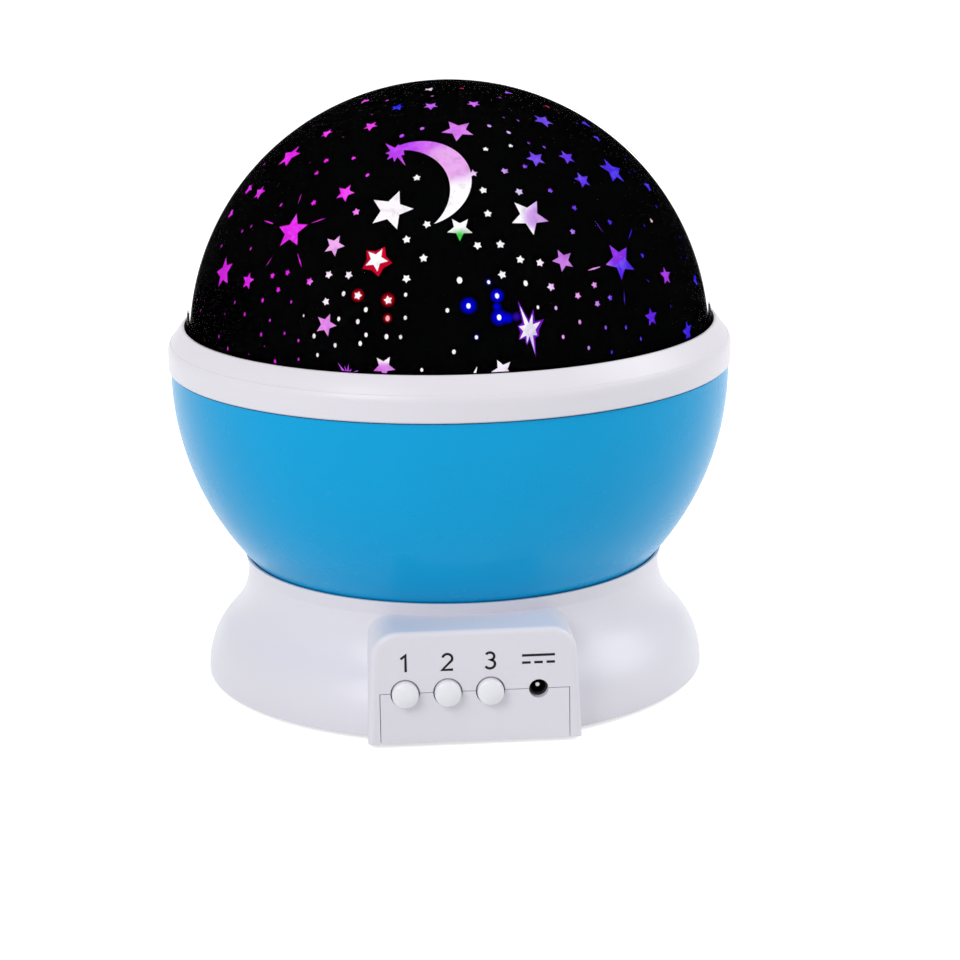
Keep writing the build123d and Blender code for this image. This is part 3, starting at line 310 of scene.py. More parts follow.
# lengths in mm, as everywhere in the pattern
MASK_OUTER = 61.9
MASK_INNER = 61.7
FILM_OUTER = 61.6
FILM_INNER = 61.2
CENTRE_Z = mask_high.z / MM - MASK_OUTER    # centre of the dome's spheres
FOOT_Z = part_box("star_film")[0].z / MM      # where the mask's wall meets its foot
FOOT_LOW = mask_low.z / MM
FOOT_OUTER = mask_high.x / MM
FOOT_INNER = 60.2
FOOT_CHAMFER = 0.15
EQUATOR = MASK_OUTER * math.pi / 2          # distance from the pole to the equator along the dome
SKIRT = CENTRE_Z - FOOT_Z                   # height of the upright wall below the equator

FLATTEN = 0.006                     # how much lower than round the mask and the film are
RAISE = 0.004                       # how far the windows are raised to make up for it
POLE_SHARE = 0.1                    # the raise fades out over this last share below the pole
PATTERN_SHIFT = (-0.15, 0.2)        # moves the whole pattern, degrees of longitude and latitude
REPEATS = 2                         # how often the pattern comes round the dome

RIM_POINTS = 240                    # corners of the mask's lower edge
GRID_STEP = 2.0                     # spacing of the mask's inner points
ROW_SHARE = 0.87                    # spacing of their rows, as a share of the step
ROW_LEAST = 6                       # points in the row round the pole
MERGE_REACH = 1e-5                  # corners nearer than this are one
MASK_SHARP, LATHE_SHARP = 40, 35    # edges above this angle stay sharp, degrees
LATHE_STEPS = 192                   # steps round the spin axis
DOME_STEPS = 60                     # steps from the equator to the pole

# Windows: longitude and latitude in degrees, then size in mm; turns and bearings in degrees.
CRESCENT = (-12.7, 46.2, 12.3)
CRESCENT_OPENING = 214.8            # bearing of its open side
CUT_SHARE, CUT_OFFSET = 1.01, 0.47  # radius and shift of the disc that is cut away, as shares of the size
HORN_CUT = 18.0                     # how much its upper horn is shortened
CRESCENT_STEPS = 36
STAR_POINTS = 5
# stars: longitude, latitude, size, turn
STARS = [
    (-40, 61.6, 2.1, -10), (-60.3, 57.6, 2.0, 10), (-68, 49.4, 3.9, 8), (-33.7, 42.4, 2.5, -13),
    (-77, 39, 2.3, -10), (-68, 39.3, 2.4, 5), (-78.5, 32.5, 2.1, -15), (-66.3, 20.7, 4.1, 24),
    (-55.1, 20.4, 2.3, 0), (-31.9, 30.3, 2.7, -17), (-20.6, 27.8, 2.8, -23), (-17.4, 6.0, 2.6, -31),
    (-30.7, 13.8, 2.7, -18), (-13.5, 70.8, 2.2, -27), (15.8, 71.3, 2.1, 20), (1.4, 60.8, 4.1, 26),
    (27.1, 50.6, 2.6, 10), (46.5, 61.5, 3.0, 10), (-0.8, 34.6, 3.0, 33), (-18.8, 38.9, 5.2, -12),
    (17.6, 36.6, 4.7, 34), (39.7, 49.9, 2.4, -1), (39.4, 43.6, 2.5, 0), (55.4, 44.2, 4.2, -16),
    (69.5, 37.9, 2.2, -10), (75, 56.9, 2.4, 0), (66.8, 52.8, 1.7, -10), (80, 26.1, 1.7, 8), (23.4, 26.3, 2.8, 15),
    (53.9, 19, 2.5, -7), (44.8, 11.6, 2.4, 0), (58.9, 6, 3.0, 5), (70.7, 15.1, 2.4, 10), (6.8, 5.0, 2.6, 25),
    (4.4, 47.8, 1.2, 0), (-35.4, 69.7, 2.1, 12), (-71.6, 70.5, 2.0, 0), (-26.4, 80.8, 1.9, 0), (62, 74.5, 1.8, 20),
]
# stars with loose rays: longitude, latitude, size, turn, then each ray's bearing, start and end
RAY_STARS = [
    (-45.8, 32.5, 4.5, 10, [(104, 6.6, 10.3), (28.5, 5.3, 9.4), (170, 7.0, 10.8), (-116, 6.8, 10.6), (-51, 6.4, 10.4)]),
    (39.2, 24.4, 4.6, 20, [(183, 6.3, 10.0), (-102, 6.7, 10.4), (105, 7.2, 10.9), (41, 7.1, 10.7), (-37, 8.6, 10.0)]),
]
RAY_WIDTHS = ((0.0, 0.09), (0.6, 0.2), (1.0, 0.04))     # share of a ray's length and half its width there
# bursts of spikes: longitude, latitude, size of the core, then each spike's bearing and reach
BURSTS = [
    (13, 12.8, 1.45, [(107, 5.9), (73, 3.7), (30, 3.2), (-37, 2.2), (-80, 5.8), (-105, 3.2), (-142, 3.0), (159, 2.5)]),
    (-21.7, 53.8, 1.7, [(140, 4.7), (96, 2.7), (-21, 2.2), (-52, 5.2), (-85, 3.1), (-124, 3.1), (-172, 2.8)]),
    (-25.3, 3.9, 1.0, [(131, 3.9), (108, 2.5), (83, 2.8), (55, 1.9), (25, 3.0), (-90, 1.5), (-170, 2.2)]),
    (1.2, 4.8, 0.3, [(69, 1.5), (-111, 1.5)]),
]
SMALL_STAR_SHARE, SMALL_STAR_INNER = 0.94, 0.58
SMALL_STARS = [
    (-28.4, 38.1, 1.1), (-12.9, 46.9, 1.1), (-9, 35.7, 1.1), (-13.8, 32.3, 1.1), (-9.5, 28.3, 1.1),
    (3.2, 30.8, 1.1), (8.7, 30.8, 1.15), (12.9, 27.3, 1.1), (17.5, 26.3, 1.1), (8.2, 24.4, 1.1), (-13.2, 24, 1.1),
    (19.1, 21.1, 1.1), (14.5, 48, 1.1), (6.5, 43.4, 1.1), (16.8, 42.5, 1.15), (6.7, 37.8, 1.1), (10.5, 54.4, 0.9),
    (20.5, 54.9, 0.8), (-23.9, 20.2, 1.1), (-17, 19.5, 1.1), (-31.3, 18.5, 1.05), (-26.7, 24.3, 1.1),
    (-31.7, 24.1, 1.1), (-36.3, 22.3, 1.1), (-43, 23.6, 0.9), (-47.3, 22.5, 0.9), (-44.5, 19.8, 0.85),
    (-47.4, 50.1, 1.0), (25.2, 18.7, 0.95), (30, 20.4, 0.95), (29.8, 16.5, 0.9), (33.5, 17.3, 0.85),
    (28.2, 32.2, 0.9), (47.4, 24.5, 0.85), (26.4, 42.1, 0.85), (31.5, 37.4, 0.9), (40.9, 33, 0.9), (57.9, 31, 0.9),
    (21.8, 48.8, 0.85), (67, 65.5, 1.2), (21, 81.1, 1.0), (-42.6, 39.4, 0.95), (-36.9, 51.5, 0.8),
    (-47.7, 46.6, 0.85),
]
DOT_SHARE = 0.84                    # drawn size of a dot in front, as a share of the listed one
SIDE_DOT_SHARE = 0.62               # the dots at the sides let less light through
SIDE_DOTS_FROM = 34                 # longitude beyond which a dot lies at the side
DOT_TALL = 1.13                     # dots are upright ovals
DOT_STEPS, FILL_DOT_STEPS = 14, 10
DOTS = [
    (-28.8, 47.2, 0.6), (-54.1, 37.8, 0.75), (-62, 31.8, 0.7), (-58, 27.1, 0.7), (-48.6, 17.1, 0.8),
    (-40.2, 17.7, 0.55), (-27.3, 20.4, 0.62), (-21.8, 17.4, 0.62), (-16.9, 15.8, 0.65), (-36.4, 15.2, 0.45),
    (-27.8, 15.2, 0.55), (-23.4, 14.9, 0.6), (-58.1, 15.4, 0.65), (-72.5, 13.8, 0.5), (-65.9, 11.3, 0.5),
    (-61.3, 12.5, 0.5), (-53.7, 13.5, 0.75), (-45.4, 13.3, 0.55), (-40.9, 11.1, 0.55), (-47.5, 10.1, 0.7),
    (-71.5, 8.2, 0.4), (-62.7, 7.4, 0.75), (-58.6, 5.5, 0.75), (-33.3, 11.3, 0.6), (-37.1, 10, 0.55),
    (-28.2, 9.8, 0.55), (-32.2, 7.5, 0.5), (-36.8, 6.2, 0.5), (-21.4, 12.3, 0.55), (-17, 12.1, 0.62),
    (-22.6, 10.5, 0.6), (-43, 5, 0.8), (-50.9, 5.5, 0.35), (-46.2, 7.8, 0.3), (-14.4, 61.5, 0.7),
    (-22.2, 58.9, 0.75), (16.2, 61.8, 0.7), (23.1, 59.1, 0.7), (26.5, 64.4, 0.4), (32.6, 62.8, 0.5),
    (28.4, 55.2, 0.45), (33.6, 53.5, 0.55), (13.3, 22.3, 0.7), (5, 23, 0.5), (6.6, 20.1, 0.65), (0.3, 18.3, 0.65),
    (6.7, 15.7, 0.7), (-4.2, 17.5, 0.55), (-13.2, 20.7, 0.5), (-13.1, 16, 0.5), (-14, 12.1, 0.5), (1.7, 11.9, 0.5),
    (-3, 9.1, 0.55), (-9.6, 5.5, 0.45), (15.4, 17.2, 0.45), (19.5, 16.7, 0.5), (53.4, 30.5, 0.6), (43.6, 53.9, 0.3),
    (20.4, 10.7, 0.5), (24.7, 13.3, 0.55), (36.5, 10.7, 0.7), (31, 11.4, 0.5), (40.5, 7.7, 0.7), (26.2, 7.8, 0.5),
    (31.9, 6.2, 0.45), (52.8, 12.6, 0.55), (60.6, 17.1, 0.3), (-48.8, 57.2, 0.4), (-53.8, 48.9, 0.4),
    (-60.8, 42.3, 0.4), (-34.3, 66.1, 0.4), (-46.6, 65.8, 0.6), (-1.4, 23.6, 0.82), (-49, 82, 0.7), (-68, 75, 0.7),
    (57, 78.7, 0.7), (50, 69.5, 0.5), (-58, 67, 0.5),
]
# random fill: count, smallest and largest size, least gap, and the inner share of a star or None for a dot
FILL = ((14, 0.8, 1.1, 2.2, 0.5), (60, 0.34, 0.58, 1.5, None))
FILL_SEED = 4
FILL_LATITUDES = (3, 84)
TRY_COST = 0.02                     # what a try adds to the count even if it fails, so that the fill always ends
FRONT_LONGITUDE, FRONT_LATITUDE = 64, 66    # inside these every window is listed above

# glow on the mask: longitude, latitude, reach at full strength, reach where it ends, colour
RED, BLUE, VIOLET = srgb(205, 6, 28), srgb(0, 0, 205), srgb(48, 4, 165)
HALOS = [
    (-23.9, 20.2, 0.4, 1.7, RED), (-17, 19.5, 0.4, 1.8, RED), (-16.9, 15.8, 0.1, 1.2, RED),
    (6.4, 17.9, 0.3, 1.1, BLUE), (6.6, 20.1, 0.9, 1.7, BLUE), (0.3, 18.3, 0.9, 2.1, BLUE),
    (6.7, 15.7, 0.9, 2.1, BLUE), (8.5, 15.4, 0.5, 1.4, BLUE), (5, 23, 0.2, 1.1, srgb(0, 0, 110)),
    (1.7, 11.9, 0.2, 1.0, srgb(0, 0, 90)), (10.4, 15.6, 0.2, 1.2, VIOLET),
]
# glow with an edge of its own: round a star (longitude, latitude, size, inner share, turn) and round the first burst
STAR_GLOW = (-20.4, 27.5, 3.6, 0.64, -23)
BURST_GLOW_CORE = 0.7               # how much wider than the burst's core
BURST_GLOW_REACH = (0.9, 0.3)       # how much longer than its spikes, for the upper and the other bearings
BURST_GLOW_UPPER = (0, 140)

# painted light of the lamps on the film, from left to right
FILM_REACH = 0.0612                 # metres from the middle to the ends of these stops
FILM_STOPS = [
    (0.0, srgb(200, 14, 212)), (0.12, srgb(212, 16, 224)), (0.26, srgb(234, 20, 236)), (0.38, srgb(228, 62, 234)),
    (0.52, srgb(206, 96, 236)), (0.62, srgb(160, 76, 234)), (0.7, srgb(98, 44, 228)), (0.8, srgb(62, 24, 226)),
    (1.0, srgb(40, 6, 216)),
]
# painted spots of the lamps' light over them, with the same fields as the halos; a later one lies over an earlier one
PINK, WHITE_LIGHT = srgb(228, 148, 236), srgb(250, 248, 252)
FILM_LIGHT_SPOTS = [
    (-26, 15.5, 10.5, 13.5, srgb(248, 236, 248)), (-17.4, 8.6, 1.6, 3.4, srgb(248, 236, 248)),
    (-17.4, 4.8, 1.2, 2.8, srgb(206, 104, 224)), (-25.6, 5, 3.4, 4.8, srgb(186, 66, 232)),
    (1.2, 5, 1.6, 2.6, WHITE_LIGHT), (57.9, 31, 0.8, 1.8, srgb(232, 190, 210)), (-9.6, 5.5, 1.0, 2.0, WHITE_LIGHT),
    (6.8, 5, 2.6, 4.0, srgb(230, 212, 236)), (-1.5, 27, 18.0, 30.0, WHITE_LIGHT), (14, 56, 4.0, 8.5, WHITE_LIGHT),
    (1.4, 60.8, 4.0, 7.0, srgb(215, 120, 235)), (27, 24, 6.0, 11.0, PINK), (24, 13, 4.0, 9.0, PINK),
    (21, 36, 1.5, 5.0, srgb(205, 130, 236)), (-31.9, 30.3, 2.4, 4.5, srgb(234, 164, 234)),
    (-30.7, 13.8, 2.2, 3.2, srgb(226, 132, 232)), (-13.5, 70.8, 3.0, 5.0, srgb(190, 90, 240)),
    (-13, 58, 4.0, 10.0, srgb(206, 100, 240)), (-2.5, 51.5, 3.5, 7.5, srgb(228, 164, 234)),
    (-22.5, 55.5, 3.5, 6.5, srgb(186, 56, 240)), (-19.5, 38.5, 5.0, 7.5, srgb(250, 244, 250)),
    (-13.5, 45, 3.0, 5.0, srgb(250, 244, 250)), (-26.4, 80.8, 1.5, 3.0, srgb(240, 220, 240)),
    (-49, 82, 0.8, 1.6, srgb(225, 20, 60)), (21, 81.1, 1.2, 2.4, srgb(225, 30, 90)),
    (67, 65.5, 1.5, 3.0, srgb(200, 20, 80)), (36, 70, 2.0, 4.0, srgb(40, 20, 230)),
    (-36.4, 70, 2.5, 4.5, srgb(30, 20, 220)), (38, 28, 3.0, 6.0, srgb(140, 38, 230)),
    (40, 20.5, 2.0, 5.0, srgb(82, 20, 230)), (27, 50.5, 3.0, 5.0, srgb(110, 56, 230)),
    (46.5, 61.5, 4.0, 6.5, srgb(104, 62, 228)), (19, 36, 1.0, 3.4, srgb(198, 150, 226)),
    (53.9, 19, 3.0, 5.0, srgb(160, 48, 226)), (44.8, 11.6, 3.0, 5.0, srgb(88, 8, 218)),
    (23.4, 26.3, 2.4, 4.4, srgb(192, 112, 222)),
]
# painted spots of lamp light on the front alone: green at the lower point of one star, red light in one dot
FRONT_LIGHT_SPOTS = [(-1.0, 32.0, 1.3, 3.6, srgb(40, 205, 60)), (-16.9, 15.8, 0.6, 1.2, srgb(244, 176, 184))]


def outward(longitude, latitude):
    """Unit vector from the dome's centre; longitude 0 faces the panel."""
    lon, lat = math.radians(longitude + PATTERN_SHIFT[0]), math.radians(latitude + PATTERN_SHIFT[1])
    return Vector((math.cos(lat) * math.sin(lon), -math.cos(lat) * math.cos(lon), math.sin(lat)))


def axes_at(longitude, latitude):
    """Directions outwards, to the right and up at a place of the dome."""
    out = outward(longitude, latitude)
    lon = math.radians(longitude)
    right = Vector((math.cos(lon), math.sin(lon), 0))
    return out, right, out.cross(right)


def place_on_dome(longitude, latitude):
    """Point of the round dome in metres."""
    return Vector((0, 0, CENTRE_Z * MM)) + outward(longitude, latitude) * MASK_OUTER * MM


def to_map(direction):
    """Point of the flat map, whose middle is the dome's pole and whose distances run along the dome."""
    raised = direction.z * (1 + RAISE * min(1.0, (1 - direction.z) / POLE_SHARE))
    rho = MASK_OUTER * math.acos(max(-1.0, min(1.0, raised)))
    level = math.hypot(direction.x, direction.y) or 1.0
    return Vector((rho * direction.x / level, rho * direction.y / level))


def from_map(point, radius):
    """Place on the dome of that radius, or on its skirt beyond the equator, in metres."""
    rho = point.length
    if rho < 1e-9:
        return Vector((0, 0, (CENTRE_Z + radius * (1 - FLATTEN)) * MM))
    level = point / rho
    if rho <= EQUATOR:
        angle = rho / MASK_OUTER
        out, high = radius * math.sin(angle), radius * (1 - FLATTEN) * math.cos(angle)
    else:
        out, high = radius, EQUATOR - rho
    return Vector((level.x * out, level.y * out, CENTRE_Z + high)) * MM


def place_outline(longitude, latitude, corners, turn=0.0):
    """Map points of a flat outline laid on the dome; its corners are right and up in mm."""
    out, right, up = axes_at(longitude, latitude)
    cos_t, sin_t = math.cos(math.radians(turn)), math.sin(math.radians(turn))
    placed = []
    for a, b in corners:
        x, y = a * cos_t - b * sin_t, a * sin_t + b * cos_t
        placed.append(to_map((out * MASK_OUTER + right * x + up * y).normalized()))
    return placed


def polar(reach, angle):
    return reach * math.cos(angle), reach * math.sin(angle)


def star_corners(size, inner=0.46):
    """Star with straight sides and one point upwards; its notches lie at the inner share of its size."""
    return [polar(size if i % 2 == 0 else size * inner, math.pi / 2 + math.pi * i / STAR_POINTS)
            for i in range(2 * STAR_POINTS)]


def burst_corners(core, spikes):
    """Spikes at their own bearings and reaches, joined by notches at the core's edge."""
    spikes = sorted(spikes)
    corners = []
    for (bearing, reach), (following, _) in zip(spikes, spikes[1:] + [(spikes[0][0] + 360, 0)]):
        corners.append(polar(reach, math.radians(bearing)))
        corners.append(polar(core, math.radians((bearing + following) / 2)))
    return corners


def dot_corners(size, count, tall=1.0):
    """Round outline, or an upright oval where tall is above 1."""
    return [(size / tall * math.cos(2 * math.pi * i / count), size * tall * math.sin(2 * math.pi * i / count))
            for i in range(count)]


def crescent_corners(size):
    """Crescent: a disc less a shifted disc, its upper horn cut short where it runs into a burst."""
    tip = math.acos((1 + CUT_OFFSET**2 - CUT_SHARE**2) / (2 * CUT_OFFSET))
    centre = math.radians(CRESCENT_OPENING)
    span = 2 * math.pi - 2 * tip - math.radians(HORN_CUT)
    corners = [polar(size, centre + tip + span * i / CRESCENT_STEPS) for i in range(CRESCENT_STEPS + 1)]
    cut_x, cut_y = polar(size * CUT_OFFSET, centre)
    start = math.atan2(corners[-1][1] - cut_y, corners[-1][0] - cut_x)
    end = math.atan2(corners[0][1] - cut_y, corners[0][0] - cut_x)
    while start < end:
        start += 2 * math.pi
    for i in range(CRESCENT_STEPS):
        x, y = polar(size * CUT_SHARE, start + (end - start) * i / CRESCENT_STEPS)
        corners.append((cut_x + x, cut_y + y))
    return corners


def ray_corners(bearing, start, end):
    """Thin tapered ray that points away from its star."""
    along = Vector(polar(1.0, math.radians(bearing)))
    across = Vector((-along.y, along.x))
    stations = [(start + (end - start) * share, half) for share, half in RAY_WIDTHS]
    left = [tuple(along * at + across * half) for at, half in stations]
    right = [tuple(along * at - across * half) for at, half in stations]
    return left[:1] + right + left[:0:-1]


def dome_windows():
    """Every opening of the mask as an outline on the map."""
    chance = random.Random(FILL_SEED)
    forms = []          # longitude, latitude, outline, turn
    taken = []          # direction, reach

    def add(longitude, latitude, corners, turn=0.0, reach=None):
        forms.append((longitude, latitude, corners, turn))
        taken.append((outward(longitude, latitude), reach or max(math.hypot(*c) for c in corners)))

    def free(longitude, latitude, reach, gap):
        """Whether a place keeps the gap from every window and from its repeat on the other side."""
        here = outward(longitude, latitude)
        return all(MASK_OUTER * here.angle(other) > reach + size + gap for out, size in taken
                   for other in (out, Vector((-out.x, -out.y, out.z))))

    add(CRESCENT[0], CRESCENT[1], crescent_corners(CRESCENT[2]), reach=CRESCENT[2])
    for longitude, latitude, size, turn in STARS:
        add(longitude, latitude, star_corners(size), turn)
    for longitude, latitude, size, turn, rays in RAY_STARS:
        add(longitude, latitude, star_corners(size), turn, reach=size + 1)
        out, right, up = axes_at(longitude, latitude)
        for bearing, start, end in rays:
            forms.append((longitude, latitude, ray_corners(bearing, start, end), 0.0))
            side = right * math.cos(math.radians(bearing)) + up * math.sin(math.radians(bearing))
            taken.append(((out * MASK_OUTER + side * ((start + end) / 2)).normalized(), (end - start) / 2))
    for longitude, latitude, core, spikes in BURSTS:
        add(longitude, latitude, burst_corners(core, spikes))
    for longitude, latitude, size in SMALL_STARS:
        add(longitude, latitude, star_corners(SMALL_STAR_SHARE * size, SMALL_STAR_INNER), chance.uniform(0, 72))
    for longitude, latitude, size in DOTS:
        share = SIDE_DOT_SHARE if abs(longitude) > SIDE_DOTS_FROM else DOT_SHARE
        add(longitude, latitude, dot_corners(size * share, DOT_STEPS, DOT_TALL))
    half_way = 180 / REPEATS
    sine_low, sine_high = (math.sin(math.radians(latitude)) for latitude in FILL_LATITUDES)
    for count, low, high, gap, inner in FILL:
        made = 0
        while made < count:
            longitude = chance.uniform(-half_way, half_way)
            latitude = math.degrees(math.asin(chance.uniform(sine_low, sine_high)))
            size = chance.uniform(low, high)
            made += TRY_COST
            front = abs(longitude) < FRONT_LONGITUDE and latitude < FRONT_LATITUDE
            if front or not free(longitude, latitude, size, gap):
                continue
            made += 1 - TRY_COST
            if inner:
                add(longitude, latitude, star_corners(size, inner), chance.uniform(0, 72))
            else:
                add(longitude, latitude, dot_corners(size, FILL_DOT_STEPS))
    outlines = []
    for turn in range(REPEATS):
        for longitude, latitude, corners, spin in forms:
            outlines.append(place_outline(longitude + 360 * turn / REPEATS, latitude, corners, spin))
    return outlines


def pierced_mesh(name, outlines, glows, edge, step, outer, inner):
    """Thin shell over the map's disc with the outlines cut out, and for each face the number of its glow or 0."""
    coords = [Vector(polar(edge, 2 * math.pi * i / RIM_POINTS)) for i in range(RIM_POINTS)]
    faces = [list(range(RIM_POINTS))]
    for outline in glows + outlines:
        first = len(coords)
        coords += outline
        faces.append(list(range(first, len(coords))))
    rho = step
    row = 0
    while rho < edge - step / 2:
        level = min(rho, MASK_OUTER * math.sin(min(rho / MASK_OUTER, math.pi / 2)))
        count = max(ROW_LEAST, round(2 * math.pi * level / step))
        for i in range(count):
            coords.append(Vector(polar(rho, 2 * math.pi * (i + 0.5 * (row % 2)) / count)))
        rho += step * ROW_SHARE
        row += 1
    points, _, tris, _, _, origins = delaunay_2d_cdt(coords, [], faces, 1, MERGE_REACH)
    first_window = 1 + len(glows)
    kept = [(tri, max(origin)) for tri, origin in zip(tris, origins) if 0 in origin and max(origin) < first_window]
    used = sorted({v for tri, _ in kept for v in tri})
    index = {v: i for i, v in enumerate(used)}
    count = len(used)
    vertices = [from_map(points[v], outer) for v in used] + [from_map(points[v], inner) for v in used]
    polygons, sides, glowing = [], {}, []
    for tri, glow in kept:
        a, b, c = (index[v] for v in tri)
        pa, pb, pc = points[tri[0]], points[tri[1]], points[tri[2]]
        if (pb - pa).cross(pc - pa) < 0:
            b, c = c, b
        polygons += [(a, b, c), (a + count, c + count, b + count)]
        glowing += [glow, 0]
        for edge_pair in ((a, b), (b, c), (c, a)):
            sides[edge_pair] = sides.get(edge_pair, 0) + 1
    for a, b in list(sides):
        if (b, a) not in sides:
            polygons.append((b, a, a + count, b + count))
            glowing.append(0)
    mesh = bpy.data.meshes.new(name)
    mesh.from_pydata([tuple(v) for v in vertices], [], polygons)
    mesh.shade_smooth()
    mesh.set_sharp_from_angle(angle=math.radians(MASK_SHARP))
    return mesh, glowing


def lathe_mesh(name, profile):
    """Closed ring of a profile in radius and height (mm) turned about the spin axis."""
    vertices, polygons = [], []
    rows = len(profile)
    for s in range(LATHE_STEPS):
        angle = 2 * math.pi * s / LATHE_STEPS
        for r, z in profile:
            vertices.append((r * math.cos(angle) * MM, r * math.sin(angle) * MM, z * MM))
    for s in range(LATHE_STEPS):
        following = (s + 1) % LATHE_STEPS
        for i in range(rows):
            j = (i + 1) % rows
            polygons.append((s * rows + i, following * rows + i, following * rows + j, s * rows + j))
    mesh = bpy.data.meshes.new(name)
    mesh.from_pydata(vertices, [], polygons)
    mesh.shade_smooth()
    mesh.set_sharp_from_angle(angle=math.radians(LATHE_SHARP))
    return mesh


def add_object(name, mesh, body, material):
    """Object of one mesh that moves with a body and counts for a material slot."""
    obj = bpy.data.objects.new(name, mesh)
    scene.collection.objects.link(obj)
    dress(obj, material)
    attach(obj, body)
    return obj


def ball_profile(outer, inner):
    """Half outline of a thin dome shell with its skirt, from the foot over the top and back inside."""
    def side(radius):
        points = [(radius, FOOT_Z)]
        for i in range(DOME_STEPS + 1):
            angle = math.pi / 2 * i / DOME_STEPS
            points.append((max(radius * math.cos(angle), 0.01), CENTRE_Z + radius * (1 - FLATTEN) * math.sin(angle)))
        return points
    return side(outer) + side(inner)[::-1]


def film_material():
    """Film glowing with painted lamp light: magenta on the left, blue on the right, white low in front, with painted
    spots of other lamp colours in places.
    """
    nodes = Nodes("lit_film")
    split = nodes.add("ShaderNodeSeparateXYZ", {"Vector": nodes.coords})
    across = nodes.ranged(split.outputs["X"], 0.0, 1.0, -FILM_REACH, FILM_REACH)
    ramp = nodes.add("ShaderNodeValToRGB", {"Fac": across})
    elements = ramp.color_ramp.elements
    elements[0].position, elements[0].color = FILM_STOPS[0]
    elements[1].position, elements[1].color = FILM_STOPS[-1]
    for position, colour in FILM_STOPS[1:-1]:
        elements.new(position).color = colour
    light_spots = [(longitude + 360 * turn / REPEATS, *rest) for turn in range(REPEATS) for longitude, *rest in FILM_LIGHT_SPOTS]
    colour = ramp.outputs["Color"]
    # painted spots of the lamps' light over the gradient
    for longitude, latitude, full, faded, light_colour in light_spots + FRONT_LIGHT_SPOTS:
        colour = nodes.mix(nodes.spot(place_on_dome(longitude, latitude), full, faded), colour, light_colour)
    mottle = nodes.noise(420.0, 3.0, 0.6)
    paler = nodes.mix(nodes.ranged(mottle, 0.0, 0.06, 0.5, 0.68), colour, (1.0, 1.0, 1.0, 1.0))
    speckle = nodes.mix(nodes.ranged(mottle, 0.22, 0.0, 0.34, 0.5), paler, (0.05, 0.03, 0.08, 1.0))
    nodes.drive("Emission Color", speckle)
    nodes.drive("Base Color", nodes.mix(0.97, colour, (0.01, 0.01, 0.01, 1.0)))
    nodes.set(Emission_Strength=1.0, Roughness=0.6, Specular_IOR_Level=0.0)
    nodes.bump(mottle, 0.00001)
    return nodes.material


def mask_material():
    """Black ink-like skin with a soft glow of light leaking round a few windows."""
    nodes = Nodes("black_mask")
    skin = nodes.noise(700.0, 2.0, 0.6)
    nodes.drive("Base Color", nodes.blend(skin, (0.0006, 0.0006, 0.0008, 1.0), (0.0014, 0.0014, 0.0017, 1.0)))
    nodes.drive("Roughness", nodes.ranged(skin, 0.5, 0.62))
    nodes.bump(skin, FINE_DEPTH)
    glow = (0.0, 0.0, 0.0, 1.0)
    for longitude, latitude, full, faded, light_colour in HALOS:
        glow = nodes.mix(nodes.spot(place_on_dome(longitude, latitude), full, faded), glow, light_colour, "SCREEN")
    nodes.drive("Emission Color", glow)
    nodes.set(Emission_Strength=1.0, Specular_IOR_Level=0.0)
    return nodes.material


def glow_material(name, colour):
    """Light leaking through the mask round one window."""
    nodes = Nodes(name)
    cloud = nodes.noise(500.0, 2.0, 0.5)
    nodes.drive("Emission Color", nodes.blend(cloud, shade(colour, 0.7), colour))
    nodes.drive("Roughness", nodes.ranged(cloud, 0.5, 0.6))
    nodes.set(Base_Color=(0.01, 0.0, 0.01, 1.0), Emission_Strength=1.0, Specular_IOR_Level=0.0)
    return nodes.material


def glow_outlines():
    """Outlines of the two glows that have an edge of their own."""
    longitude, latitude, size, inner, turn = STAR_GLOW
    round_star = place_outline(longitude, latitude, star_corners(size, inner), turn)
    longitude, latitude, core, spikes = BURSTS[0]
    upper, other = BURST_GLOW_REACH
    first, last = BURST_GLOW_UPPER
    spikes = [(bearing, reach + (upper if first < bearing < last else other)) for bearing, reach in spikes]
    return [round_star, place_outline(longitude, latitude, burst_corners(core + BURST_GLOW_CORE, spikes))]


mask_mesh, mask_faces = pierced_mesh("star_mask_shell", dome_windows(), glow_outlines(), EQUATOR + SKIRT, GRID_STEP,
                                     MASK_OUTER, MASK_INNER)
mask = add_object("pierced_mask", mask_mesh, "dome", mask_material())
mask.data.materials.append(glow_material("red_glow", RED))
mask.data.materials.append(glow_material("violet_glow", srgb(120, 20, 200)))
mask.data.polygons.foreach_set("material_index", mask_faces)
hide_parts("star_mask")
foot_profile = [(FOOT_INNER, FOOT_LOW), (FOOT_OUTER - FOOT_CHAMFER, FOOT_LOW), (FOOT_OUTER, FOOT_LOW + FOOT_CHAMFER),
                (FOOT_OUTER, FOOT_Z - FOOT_CHAMFER), (FOOT_OUTER - FOOT_CHAMFER, FOOT_Z), (FOOT_INNER, FOOT_Z)]
add_object("mask_foot", lathe_mesh("star_mask_foot", foot_profile), "dome", mask.data.materials[0])
film = add_object("lit_film", lathe_mesh("lit_film", ball_profile(FILM_OUTER, FILM_INNER)), "dome",
                  film_material())
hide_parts("star_film")

# ---- markings on the panel --------------------------------------------------------------------

